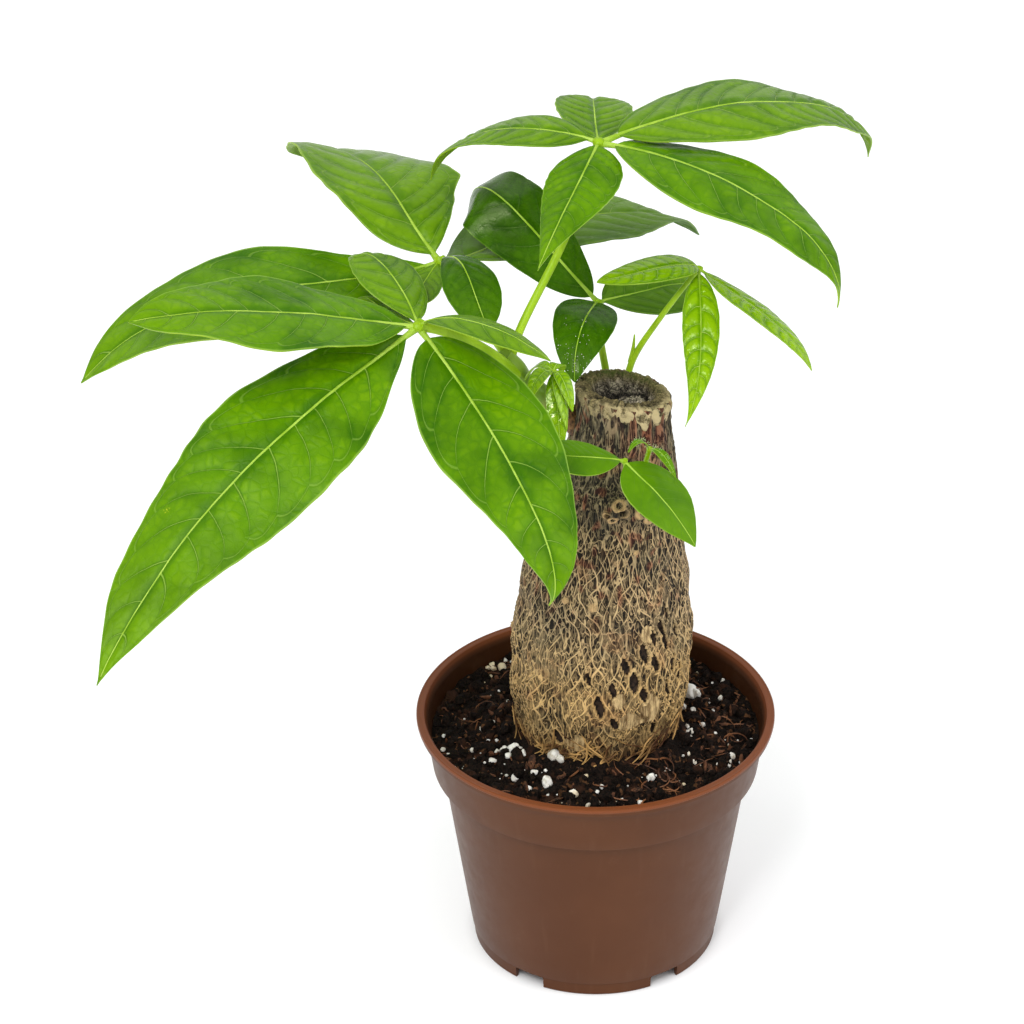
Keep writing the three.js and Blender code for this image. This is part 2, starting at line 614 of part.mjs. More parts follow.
const trunkSeat = buildTrunk(SEAT_GAP);
const SEATS = {
  trunk: trunkSeat,
  shoot: buildShoot(SHOOT_LEFT, SEAT_GAP),
  stub: buildShoot(SHOOT_BACK, SEAT_GAP),
};

addPiece('pot', buildPot(), POT_PLASTIC);
addPiece('soil', buildSoil(trunkSeat), PEAT);
addPiece('trunk', buildTrunk(), BARK);
addPiece('shoot_left', outerSkin(buildShoot(SHOOT_LEFT).subtract(trunkSeat)), GREEN_STEM);
addPiece('shoot_back', outerSkin(buildShoot(SHOOT_BACK).subtract(trunkSeat)), GREEN_STEM);
for (const plan of LEAVES) {
  addPiece(plan.name, buildLeaf(plan, plan.seats.map((seat) => SEATS[seat])), plan.material);
}

export default plant;
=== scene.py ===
"""Potted money tree: a sawn-off trunk with shoots of palmate leaves, in peat in a round nursery pot."""
import math
import random
from contextlib import contextmanager
from dataclasses import dataclass

import bpy
import numpy as np
from mathutils import Euler, Matrix, Vector, noise


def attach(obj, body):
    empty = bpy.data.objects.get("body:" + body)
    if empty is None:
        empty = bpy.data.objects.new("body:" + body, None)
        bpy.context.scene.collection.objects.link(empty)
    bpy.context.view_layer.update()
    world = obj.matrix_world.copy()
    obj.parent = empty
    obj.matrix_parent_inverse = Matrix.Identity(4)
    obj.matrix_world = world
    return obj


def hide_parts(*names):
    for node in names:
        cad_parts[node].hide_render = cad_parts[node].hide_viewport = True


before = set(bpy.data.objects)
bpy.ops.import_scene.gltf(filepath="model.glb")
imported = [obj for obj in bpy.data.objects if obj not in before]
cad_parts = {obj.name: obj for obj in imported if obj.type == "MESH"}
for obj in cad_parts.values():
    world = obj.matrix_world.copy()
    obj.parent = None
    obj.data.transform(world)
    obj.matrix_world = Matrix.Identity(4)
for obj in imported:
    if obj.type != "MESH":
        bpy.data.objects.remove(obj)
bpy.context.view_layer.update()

MM = 0.001                      # the sizes below are in millimetres, the scene is in metres
UP = np.array([0.0, 0.0, 1.0])
TURN = 2 * math.pi
SEAM = 0.01                     # points nearer than this are one

# ---- View of the photograph ---------------------------------------------------------------------
CAMERA_PLACE = (-27.4, -1122.0, 823.0)
CAMERA_DOWN = 30.4              # degrees that the view looks down
CAMERA_ROLL = -0.46
LENS = 140.6
SENSOR = 36.0

# ---- Floor and light, in metres -----------------------------------------------------------------
FLOOR_SIZE = 9.0
# The floor glows a little: painted light that washes out its shadows.
FLOOR_PAINTED_GLOW = 0.31
PAINTED_SHADOW_INNER = 0.037             # radius within which the floor's glow is off: a painted shadow under the pot
PAINTED_SHADOW_OUTER = 0.046
WORLD_GLOW = 0.76
DARK_ROOM = 0.10                # the world's strength on the viewer's side, as gloss sees it
LAMPS = (
    ("key", (-0.75, -1.0, 1.7), 21.0, 1.3),
    ("fill", (1.1, -0.6, 1.1), 7.0, 1.0),
    ("glint", (-0.30, -1.25, 1.45), 5.0, 0.24),
)
TARGET = (0.0, 0.0, 0.13)

# ---- Pot ----------------------------------------------------------------------------------------
POT_HEIGHT = 88.0
RIM_RADIUS = 60.0
RIM_INNER = 57.2
LIP_HEIGHT = 2.9
COLLAR_TOP = 57.2
COLLAR_LOW = 54.8
COLLAR_LOW_Z = 68.6
BODY_TOP = 51.6
BODY_LOW = 42.2
FOOT_RADIUS = 41.4
FOOT_HEIGHT = 4.8
FOOT_INNER = 39.9
WALL = 1.4
FLOOR_UNDER_Z = 3.4
FLOOR_TOP_Z = 5.2
PAD_RADIUS = 9.0
NOTCH_ANGLES = (33.5, 146.5, 213.5, 326.5)
NOTCH_WIDTH = 11.0
NOTCH_DEPTH = 12.0
DRAIN_RADIUS = 4.0
DRAIN_CIRCLE = 31.0
POT_STEPS = 180

# ---- Soil ---------------------------------------------------------------------------------------
SOIL_EDGE_Z = 80.5
SOIL_EDGE_RADIUS = 54.9
SOIL_MOUND = 3.8
MOUND_INNER = 24.0
MOUND_OUTER = 52.0
SOIL_UNDER_Z = 5.5
SOIL_GAP = 0.6                  # the soil stays this far inside the pot's wall
SOIL_TUCK = 0.6                 # and reaches this far under the bark
COLLAR_STEP = 3.8               # height over which it narrows under the collar
SOIL_AROUND = 300
SOIL_ALONG = 96
LUMP_HEIGHT = 0.7
CALM_FROM = 47.5                # radius from which the lumps die away
CALM_TO = 53.5
HEAP = 2.4                      # height of the soil heaped against the front of the trunk
HEAP_RING = 26.5                # radius at which it is highest
HEAP_SPREAD = 6.5
GRAIN_OUTER = 53.8              # grains lie on the soil between these radii
GRAIN_INNER = 31.0
# Perlite grains that the photograph shows: place in X and Y, and radius.
PERLITE = (
    (32.3, 15.6, 3.3), (-27.6, -17.4, 2.1), (-30.6, -16.2, 1.7), (-25.2, -17.6, 1.6), (-14.1, -25.2, 2.4),
    (-12.0, -27.4, 1.6), (-27.1, -31.4, 1.7), (-16.6, -35.1, 2.3), (-8.0, -40.4, 1.8), (1.2, -37.6, 1.1),
    (-34.7, -21.9, 1.6), (-31.3, 37.6, 1.8), (-36.4, 41.6, 1.3), (-3.6, -47.9, 1.4), (31.5, -22.9, 1.5),
    (43.7, -22.4, 1.6), (48.2, 31.4, 1.2), (36.1, 34.1, 1.1), (42.7, 17.0, 1.1), (17.5, -33.8, 1.6),
    (-38.8, 41.6, 1.0), (-34.3, 37.0, 1.2), (-1.8, -46.8, 1.1), (31.8, -6.5, 1.3), (35.8, -1.2, 1.2),
    (29.9, -11.4, 1.1), (44.9, -18.6, 1.5), (-33.0, -16.0, 1.4), (-24.5, -20.5, 1.4), (-29.3, -20.9, 1.3),
    (-20.8, -30.4, 1.4), (-22.6, -35.8, 1.2), (-11.6, -37.2, 1.2), (35.2, 20.8, 1.3), (29.8, 8.0, 1.4),
    (33.0, 6.4, 1.1), (16.2, -40.3, 0.9),
)
SMALL_PERLITE = 170
# Bits of the soil: how many, how fine a ball each starts as, smallest and largest radius, and flatness.
SOIL_BITS = {
    "crumbs": (2100, 1, 0.35, 1.15, (0.7, 0.6)),
    "clods": (420, 2, 1.0, 3.0, (0.7, 0.6)),
    "chips": (210, 2, 1.0, 2.8, (0.36, 0.2)),
}
FIBRES = 85
# Where tangles of longer root fibres lie.
TANGLES = (
    (20.5, -31.5), (23.5, -28.0), (18.5, -36.0), (13.5, -41.5), (22.0, -35.5), (43.5, -11.0), (40.0, -2.0),
)
FRAYS = 52

# ---- Trunk --------------------------------------------------------------------------------------
TRUNK_BOTTOM_Z = 46.0
TRUNK_TOP_Z = 209.5
BARK_FROM = 78.0                # height from which the bark is shown in full
CUT_TILT = -0.16
CUT_MIDDLE = 0.0086             # how far the middle of the cut is towards +X, in metres
TILT_FROM = 185.0
# Girth of the trunk: height, middle in X, half-width in X, half-depth in Y.
GIRTH = np.array((
    (46, 0.5, 15, 15), (58, 0.5, 21, 21), (72, 0.4, 25, 25), (86, 0.5, 27.6, 27.4),
    (102, 1.4, 29.4, 29), (118, 2.1, 29.8, 29), (132, 2.5, 28.6, 27.6), (148, 3.2, 26.4, 25.2),
    (164, 4.8, 23, 22), (178, 6.6, 20, 19), (190, 7.8, 17.2, 16), (200, 8.4, 15.4, 14),
    (209.5, 8.6, 15.2, 13.6),
), dtype=float)
FURROWS = 17                    # furrows round the upper trunk
FURROW_DEPTH = 0.35
NET_MESHES = 6                  # crossing swells round the lower trunk
NET_RISE = 0.16
NET_DEPTH = 0.8
NET_FROM = 25.0                 # how far under the top the net begins, and where it is full
NET_FULL = 75.0
THREADS_AROUND = 52             # threads of each family round the trunk
THREAD_CLIMB = 7.5              # height over which a thread passes to its neighbour's place
BARK_AROUND = 280
BARK_ALONG = 320
BARK_LOW_SHARE = 0.03           # shares of the rows at which the bark starts and ends
BARK_TOP_SHARE = 0.94
BARK_BURIED = 0.06              # share of the bark that is under the soil
BARK_CAP_DROP = 12.0            # the bark closes this far under the cut, inside the wood
CUT_AROUND = 240
CUT_ALONG = 96
CUT_EDGE = 0.16                 # shares of the cut's rows at which its rim, the slope and the bowl begin
CUT_RIM = 0.40
CUT_BOWL = 0.52
CUT_INSET = 0.35                # how far the sawn edge stands inside the girth
CUT_WALL = 4.3                  # rough ring of wood left round the sunken middle of the cut
CUT_SWAY = 1.9                  # how much wider the ring is in front, and narrower behind
CUT_SLOPE = 1.5                 # run of the slope from the rough ring down to the sunken middle
CUT_DEPTH = 3.6
# The swelling that carries the knots: angle from +X, height, radius, proud height.
SWELLS = ((-82, 180, 5, 2.0), (-100, 178, 4.5, 1.5), (-65, 175, 5, 1.5))
# Ring-shaped knots of old side branches: angle from +X, height, ring radius, proud height.
KNOTS = (
    (-86.5, 176.6, 2.0, 0.9), (-98.5, 175.4, 1.2, 0.7), (-68.5, 175.8, 1.9, 0.6),
    (-61.0, 172.8, 1.6, 0.5), (-90.0, 179.4, 1.5, 0.6), (-93.0, 173.6, 1.2, 0.4),
)
# Buff breathing pores: angle, height, radius.
PORES = (
    (-99.7, 143.6, 1.5), (-120.3, 144.3, 1.1), (-70.7, 161.5, 0.9), (-131.0, 158.0, 0.8),
    (20.0, 150.0, 1.1), (80.0, 138.0, 1.3), (140.0, 160.0, 1.0), (175.0, 120.0, 1.2),
)
# Deep eyes of the net, mostly lower right of the front: angle, height, half-width, half-height.
EYES = (
    (-63.3, 125.3, 1.9, 4.0), (-77.0, 122.6, 1.7, 3.2), (-55.8, 121.0, 1.7, 3.6), (-47.2, 128.0, 1.5, 4.2),
    (-70.1, 115.5, 2.3, 5.0), (-40.0, 118.0, 1.5, 4.6), (-50.5, 133.5, 1.4, 3.0), (-92.0, 107.0, 2.1, 4.4),
    (-62.0, 109.5, 1.9, 3.4), (-34.0, 127.0, 1.2, 4.6), (-82.0, 101.0, 1.8, 2.6), (-120.0, 93.0, 2.4, 3.0),
    (-43.0, 108.0, 1.4, 4.2), (-56.0, 130.0, 1.2, 3.0), (-84.0, 113.5, 1.5, 3.4), (-30.0, 112.0, 1.2, 4.4),
    (-100.0, 118.0, 1.1, 3.0), (-45.0, 137.0, 1.0, 3.2), (-36.0, 98.0, 1.4, 3.8), (-52.0, 95.0, 1.6, 3.2),
    (55.0, 118.0, 1.6, 3.6), (70.0, 106.0, 1.8, 3.4), (150.0, 112.0, 1.7, 3.2), (10.0, 104.0, 1.6, 3.8),
)
# Smooth plates where the bark has peeled: angle, height, half-width, half-height.
PLATES = (
    (-60.5, 131.8, 3.2, 3.8), (-58.0, 103.5, 4.6, 6.0), (-72.0, 101.0, 6.0, 3.4), (-79.0, 109.5, 2.6, 4.0),
    (-104.0, 92.0, 5.0, 4.0), (100.0, 100.0, 5.0, 5.5),
)

# ---- Leaves -------------------------------------------------------------------------------------
BLADE_THICK = 0.45
STALK_PART = 0.04               # bare part of a leaflet's midrib at the hub
WAVES = 2.5                     # waves along a leaflet's edge
WAVE_FULL_AT = 6.0              # half-width from which an edge waves fully
EDGE_HALF = 0.12                # least half-width of a blade
RIB_AT_HUB = 1.35               # radius of a large leaflet's midrib at the hub
RIB_MIDDLE = 0.62
RIB_AT_TIP = 0.16
RIB_STEPS = 44
RIB_GROOVE = 0.35               # depth of the groove that the midrib lies in, on a leaflet 40 mm wide
SMALL_WIDTH = 11                # leaflets narrower than this are laid on a coarse grid
NET_SCALE = 300.0               # meshes of a leaf's fine net in a metre


@dataclass
class Leaflet:
    """A leaflet's plan: its midrib bends from the hub to its tip, and full and widest shape its outline."""

    look: str
    tip: tuple
    bend: object                # two points that the midrib bends towards, or how far it arches
    width: float
    widest: float
    full: float
    veins: int
    pleat: float                # how high the blade is quilted between its side veins
    roll: float = 0
    twist: float = 0
    fold: float = 0
    wave: float = 0
    lean: float = 0.5           # how far its side veins lean towards the tip, and the two sides' difference
    slant: float = 0
    edges: tuple = ()           # dips and corners of the edge: side, place, spread, amount
    curl: tuple = ()            # where a side starts to curl, how far, and which side


@dataclass
class Leaf:
    """A palmate leaf's plan; each stalk has its points, then its radius at both ends."""

    node: str
    slot: str
    hub: tuple
    joint: float                # radius of the swollen hub
    stalks: tuple
    leaflets: tuple


LEAVES = (
    Leaf(
        "leaf_front_left", "leaf_mid", (-56, -20, 244), 2.7,
        ((((-26, -2, 217), (-35, -8, 228), (-47, -15, 239), (-56, -20, 244)), 2.3, 1.7),),
        (
            Leaflet("fresh", (-153, -110, 170), ((-86, -51, 234), (-126, -75, 218)), 46, 0.46, 2.1, 11, 0.45,
                    roll=-26, twist=17, fold=-5, wave=1.2, slant=0.2,
                    edges=((1, 0.6, 0.12, -0.09), (1, 0.86, 0.08, 0.16), (-1, 0.14, 0.08, -0.1),
                           (-1, 0.33, 0.1, 0.05))),
            Leaflet("fresh", (-143, -50, 262), ((-85, -30, 253), (-113, -40, 264)), 38, 0.48, 1.7, 8, 0.5,
                    roll=-9, fold=-2, wave=1),
            Leaflet("fresh", (-16, -85, 181), ((-32, -50, 224), (-7, -89, 196)), 40, 0.3, 2.2, 8, 0.4,
                    roll=7, twist=-12, fold=-2, wave=1,
                    edges=((1, 0.3, 0.12, 0.06), (1, 0.65, 0.15, -0.12))),
            Leaflet("mid", (-15, -38, 241), ((-47, -24, 254), (-26, -32, 248)), 16, 0.52, 2.2, 6, 0.25,
                    roll=-3, twist=-7, fold=-12),
            Leaflet("mid", (-79, 23, 245), ((-59, -3, 246), (-71, 14, 260)), 22, 0.46, 2.2, 7, 0.5,
                    roll=15, twist=-14, fold=-12),
            Leaflet("mid", (-74, 4, 242), ((-65, -9, 241), (-72, 0, 244)), 10, 0.55, 1.7, 5, 0.2,
                    roll=10, fold=-2),
        ),
    ),
    Leaf(
        "leaf_back_left", "leaf_mid", (-50, 25, 244), 2.4,
        ((((-24, 2, 214), (-33, 8.5, 226), (-42, 18, 238), (-50, 25, 244)), 2.1, 1.6),),
        (
            Leaflet("mid", (-97.5, 99.5, 249), ((-66.6, 43.1, 257), (-65, 61, 267)), 47, 0.58, 1.18, 8, 0.7,
                    roll=-10.5, twist=37, fold=4, wave=0.8, edges=((1, 0.44, 0.05, 0.15),),
                    curl=(0.74, -2.4, -1)),
            Leaflet("fresh", (-165, 0, 214), ((-78, 17, 236), (-131, 10, 252)), 44, 0.52, 2.2, 8, 0.45,
                    roll=-4, twist=-5, fold=2, wave=1),
            Leaflet("mid", (-60, 2, 239), ((-54, 15, 243), (-57, 8, 241)), 14, 0.58, 1.6, 5, 0.25,
                    roll=5, fold=-3),
            Leaflet("deep", (-34, -12, 238), ((-41, 8, 259), (-40, 0, 245)), 19, 0.6, 1.9, 6, 0.3,
                    roll=-3, fold=-4),
            Leaflet("dusk", (37, 93, 219), ((-38, 61, 225), (5, 89, 245)), 45, 0.56, 2.4, 10, 0.6,
                    twist=-8, wave=0.8, edges=((1, 0.66, 0.25, 0.2), (-1, 0.66, 0.25, 0.2))),
        ),
    ),
    Leaf(
        "leaf_top_right", "leaf_mid", (1, 30, 283), 2.5,
        ((((-28, -0.5, 220), (-23.4, 4, 232), (-10.4, 18, 253.5), (-2.6, 27, 272), (1, 30, 283)),
          1.5, 1.1),),
        (
            Leaflet("mid", (91, 70, 258), ((55, 49, 297.5), (92, 67, 280.4)), 37.5, 0.3, 2, 13, 0.68,
                    roll=7, twist=-9, fold=-6, wave=0.8),
            Leaflet("fresh", (76, -5, 241), ((44, 10, 284.5), (80, -7, 264.5)), 35, 0.3, 2.4, 11, 0.45,
                    roll=4, twist=-4, fold=-7, wave=0.8),
            Leaflet("fresh", (-19, -20, 263), ((-4, 12, 281), (-11, -1, 274)), 25, 0.31, 1.9, 11, 0.6,
                    roll=1, twist=6, fold=-14, lean=0.25),
            Leaflet("mid", (-53, 45, 263), ((-24, 37, 289), (-48, 43, 283)), 22, 0.37, 2, 10, 0.6,
                    roll=-15, twist=40, fold=-5),
            Leaflet("mid", (0, 76, 275), ((0, 45, 281), (0, 64, 288)), 25, 0.52, 1.6, 9, 0.75, roll=6),
        ),
    ),
    Leaf(
        "leaf_behind_trunk", "leaf_dark", (1, 32, 225), 2.0,
        ((((5.3, 18.5, 196.5), (3, 21, 208), (1.2, 27, 218), (1, 32, 225)), 1.3, 1.1),),
        (
            Leaflet("deep", (-40, 66, 247), ((-13, 41, 236), (-36, 42, 273)), 31, 0.62, 1.1, 7, 0.14,
                    roll=-31, twist=13, fold=-22, wave=0.4),
            Leaflet("dusk", (37, 52, 219), ((14, 39, 224), (29, 47, 227)), 28, 0.47, 1.6, 8, 0.2,
                    roll=9, twist=7, fold=-1),
            Leaflet("deep", (-7, -1, 213), ((-2, 21, 229), (-8, 5, 226)), 20, 0.36, 1.3, 5, 0.14,
                    roll=-9, twist=-9),
        ),
    ),
    Leaf(
        "leaf_young_right", "leaf_lime", (33, 20, 243), 1.6,
        ((((9.2, 18, 197), (12.2, 20, 210), (20.8, 20, 225), (33, 20, 243)), 1.25, 0.8),
         (((11.4, 20, 209), (12.2, 20, 214), (12.6, 20, 219)), 1.0, 0.25)),
        (
            Leaflet("lime", (0, 5, 246), ((30, 19, 248), (12, 10, 246)), 14, 0.43, 1.4, 8, 0.26,
                    roll=-8, fold=-4, lean=0.05),
            Leaflet("lime", (27, -30, 213), ((33, 1, 233), (34, -15, 221)), 12, 0.32, 2, 9, 0.62,
                    fold=-3, lean=0.05),
            Leaflet("lime", (67, -20, 227), ((46, 4, 240), (62, -13, 238)), 12, 0.43, 1.8, 9, 0.5,
                    roll=-11, twist=-12, fold=-6, lean=0.05),
        ),
    ),
    Leaf(
        "leaf_cluster_new", "leaf_lime", (-14, -10, 222), 1.3,
        ((((-14, -1, 205), (-14, -6, 213), (-14, -10, 222)), 1.1, 0.9),),
        (
            Leaflet("lime", (-11.9, -26.8, 201.8), 4, 7, 0.5, 1.5, 9, 0.2, fold=-8, lean=0.05),
            Leaflet("lime", (-9.8, -23.6, 208.5), 4, 4.6, 0.5, 1.5, 8, 0.2, roll=-24, fold=-16, lean=0.05),
            Leaflet("lime", (-22, -20, 217), 4, 6, 0.5, 1.5, 8, 0.2, fold=8, lean=0.05),
            Leaflet("lime", (-8, -20, 213), 4, 5, 0.5, 1.5, 7, 0.16, fold=8, lean=0.05),
            Leaflet("lime", (-23, -4, 216), 4, 5, 0.5, 1.5, 7, 0.16, lean=0.05),
            Leaflet("lime", (-11, -3, 218), 3, 5, 0.5, 1.5, 6, 0.15, lean=0.05),
        ),
    ),
    Leaf(
        "leaf_on_trunk", "leaf_mid", (8, -32, 202), 1.1,
        ((((12, -18, 179), (12, -27, 188), (9, -31, 197), (8, -32, 202)), 1.1, 0.8),),
        (
            Leaflet("plain", (-19, -43, 211), ((-1, -36, 206), (-10, -40, 208)), 15, 0.52, 1.6, 7, 0.12,
                    roll=-15, twist=-10, fold=-5),
            Leaflet("plain", (30, -50, 181), ((15, -38, 197), (24, -45, 192)), 22, 0.4, 1.6, 7, 0.12,
                    fold=-3, edges=((-1, 0.65, 0.3, 0.12),)),
        ),
    ),
    Leaf(
        "sprout_hairy", "leaf_lime", (16, -30, 205), 0.9,
        ((((16, -19, 181), (15.5, -26, 192), (15, -28, 199), (16, -30, 205)), 1.0, 0.8),),
        (
            Leaflet("plain", (9, -34, 206), 3.5, 2.6, 0.5, 1.7, 4, 0.1),
            Leaflet("plain", (24, -38, 199), 3, 3.6, 0.5, 1.7, 4, 0.1),
        ),
    ),
)
# Each shoot's points, then its radius at both ends.
SHOOTS = {
    "shoot_left": (((-4, 1, 196), (-12, 1, 202), (-22, 0, 211), (-30, -1, 223)), 4.6, 3.7),
    "shoot_back": (((7, 8, 190), (7.5, 15, 194), (7.5, 18, 200)), 3.0, 2.8),
}

# Top of each kind of leaflet: its underside and rim, its dark, main, light and vein colours, its roughness
# and shine, how much its side veins and fine net show, the veins' width, its relief, how much the painted
# sheen of its pads and the painted shade beside its midrib and veins show, and the colour of its scars.
LEAF_TOPS = (
    ("fresh", "leaf under", "leaf rim", (46, 94, 0), (80, 128, 0), (116, 158, 0), (142, 178, 70),
     0.35, 0.17, 0.66, 0.07, 0.020, 0.6, 0.14, 0.6, (190, 196, 40)),
    ("mid", "leaf under", "leaf rim", (52, 96, 0), (82, 126, 0), (120, 160, 12), (146, 178, 70),
     0.32, 0.28, 0.6, 0.05, 0.021, 0.6, 0.35, 0.18),
    # deep: a darker green, partly the older leaflets' own colour and partly painted shade for leaflets that
    # lie in shadow behind the trunk and under other leaves.
    ("deep", "leaf deep under", "dark leaf rim", (26, 62, 0), (48, 92, 0), (80, 122, 8), (100, 138, 36),
     0.26, 0.28, 0.3, 0.04, 0.022, 0.25, 0.2, 0.25, (150, 108, 30)),
    ("dusk", "leaf deep under", "dark leaf rim", (66, 108, 4), (90, 134, 10), (114, 154, 34), (132, 162, 66),
     0.4, 0.12, 0.6, 0.05, 0.022, 0.5, 0.3, 0.2),
    ("lime", "leaf lime under", "leaf rim", (80, 130, 0), (102, 148, 0), (152, 192, 14), (196, 218, 104),
     0.13, 0.8, 0.5, 0.03, 0.022, 0.6, 0.5, 0.1),
    ("plain", "leaf under", "leaf rim", (62, 108, 0), (82, 128, 0), (96, 142, 0), (112, 152, 16),
     0.34, 0.25, 0.25, 0.06, 0.03, 0.3, 0.0, 0.3),
)
LEAF_UNDERS = (
    ("leaf under", (108, 148, 20), (130, 166, 40), (160, 188, 70)),
    ("leaf deep under", (60, 100, 12), (80, 120, 26), (116, 146, 52)),
    ("leaf lime under", (128, 170, 8), (152, 190, 34), (178, 206, 76)),
)
LEAF_RIMS = (
    ("leaf rim", (112, 150, 10), (150, 182, 40)),
    ("dark leaf rim", (70, 114, 14), (104, 138, 30)),
)


# ---- Plain helpers ------------------------------------------------------------------------------
def deselect():
    bpy.ops.object.select_all(action="DESELECT")


def only(piece):
    deselect()
    piece.select_set(True)
    bpy.context.view_layer.objects.active = piece


def places(mesh):
    flat = np.empty(len(mesh.vertices) * 3, dtype=np.float32)
    mesh.vertices.foreach_get("co", flat)
    return flat.reshape(-1, 3).astype(float)


def set_places(mesh, points):
    mesh.vertices.foreach_set("co", (points * MM).astype(np.float32).ravel())
    mesh.update()


def apply_modifier(piece, kind, **settings):
    only(piece)
    modifier = piece.modifiers.new(kind.title(), kind)
    for name, value in settings.items():
        setattr(modifier, name, value)
    bpy.ops.object.modifier_apply(modifier=modifier.name)


def join(pieces, name):
    deselect()
    for piece in pieces:
        piece.select_set(True)
    bpy.context.view_layer.objects.active = pieces[0]
    if len(pieces) > 1:
        bpy.ops.object.join()
    pieces[0].name = name
    pieces[0].data.name = name
    return pieces[0]


def smooth(piece, degrees):
    only(piece)
    bpy.ops.object.shade_smooth_by_angle(angle=math.radians(degrees))


@contextmanager
def editing(piece):
    """Edit a piece, with all of it selected."""
    only(piece)
    bpy.ops.object.mode_set(mode="EDIT")
    bpy.ops.mesh.select_all(action="SELECT")
    yield
    bpy.ops.object.mode_set(mode="OBJECT")


def close_seams(piece):
    """Close seams and poles, and turn all faces outward."""
    with editing(piece):
        bpy.ops.mesh.remove_doubles(threshold=SEAM * MM)
        bpy.ops.mesh.normals_make_consistent(inside=False)


def settle(piece, node):
    """Ride on the one body and stand for the plain node, which is hidden."""
    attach(piece, "root")
    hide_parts(node)


def sheet(name, across, along, lay):
    """A grid whose points go where lay(a, b) says, for a and b from 0 to 1, and lay's other results."""
    deselect()
    bpy.ops.mesh.primitive_grid_add(x_subdivisions=across, y_subdivisions=along, size=2, calc_uvs=False)
    piece = bpy.context.active_object
    piece.name = name
    flat = places(piece.data)
    points, facts = lay((flat[:, 0] + 1) / 2, (flat[:, 1] + 1) / 2)
    set_places(piece.data, points)
    return piece, facts


def smoothstep(low, high, value):
    share = np.clip((value - low) / (high - low), 0, 1)
    return share * share * (3 - 2 * share)


def clouds(points, size, seed=0.0):
    """Soft noise from about -1 to 1 at each point."""
    scaled = np.asarray(points) / size + seed
    return np.array([noise.noise(point) for point in scaled.tolist()])


def cell_edges(points, size, seed=0.0):
    """Distance from the edge between two cells, 0 on the edge."""
    scaled = np.asarray(points) / size + seed
    result = np.empty(len(scaled))
    for index, point in enumerate(scaled.tolist()):
        reach = noise.voronoi(point)[0]
        result[index] = reach[1] - reach[0]
    return result


def unit(vectors):
    return vectors / np.maximum(np.linalg.norm(vectors, axis=-1, keepdims=True), 1e-9)


def smooth_path(points, count):
    """Points along a smooth curve through the given ones."""
    known = np.array(points, dtype=float)
    ends = np.vstack((2 * known[0] - known[1], known, 2 * known[-1] - known[-2]))
    result = []
    for step in np.linspace(0, len(known) - 1, count):
        index = min(int(step), len(known) - 2)
        t = step - index
        a, b, c, d = ends[index:index + 4]
        result.append(0.5 * (2 * b + (c - a) * t + (2 * a - 5 * b + 4 * c - d) * t * t
                             + (3 * b - a - 3 * c + d) * t ** 3))
    return np.array(result)


def tubes(name, runs, sides):
    """Round rods along paths; each run is its points and its radii."""
    curve = bpy.data.curves.new(name, "CURVE")
    curve.dimensions = "3D"
    curve.bevel_depth = MM
    curve.bevel_resolution = sides
    curve.use_fill_caps = True
    for points, radii in runs:
        spline = curve.splines.new("POLY")
        spline.points.add(len(points) - 1)
        flat = np.column_stack((np.asarray(points) * MM, np.ones(len(points))))
        spline.points.foreach_set("co", flat.ravel())
        spline.points.foreach_set("radius", np.asarray(radii, dtype=float))
    piece = bpy.data.objects.new(name, curve)
    bpy.context.scene.collection.objects.link(piece)
    only(piece)
    bpy.ops.object.convert(target="MESH")
    return bpy.context.active_object


def dress(piece, *skins):
    piece.data.materials.clear()
    for skin in skins:
        piece.data.materials.append(skin)


def finish(piece, degrees, skin, node):
    """Shade a piece smooth where it bends by less than some degrees, dress it and settle it."""
    if degrees:
        smooth(piece, degrees)
    dress(piece, skin)
    settle(piece, node)


def mark(mesh, name, *values):
    """Keep up to three numbers a point for the piece's material."""
    layer = mesh.attributes.new(name, "FLOAT_COLOR", "POINT")
    rows = np.ones((len(mesh.vertices), 4), dtype=np.float32)
    for column, numbers in enumerate(values):
        rows[:, column] = numbers
    layer.data.foreach_set("color", rows.ravel())


def corners_of(mesh):
    """The point at each corner of each face."""
    corners = np.empty(len(mesh.loops), dtype=np.int32)
    mesh.loops.foreach_get("vertex_index", corners)
    return corners


def add_map(mesh, name, across, up):
    """Keep two numbers a corner for the piece's material."""
    rows = np.column_stack((across, up)).astype(np.float32)
    mesh.uv_layers.new(name=name).data.foreach_set("uv", rows.ravel())


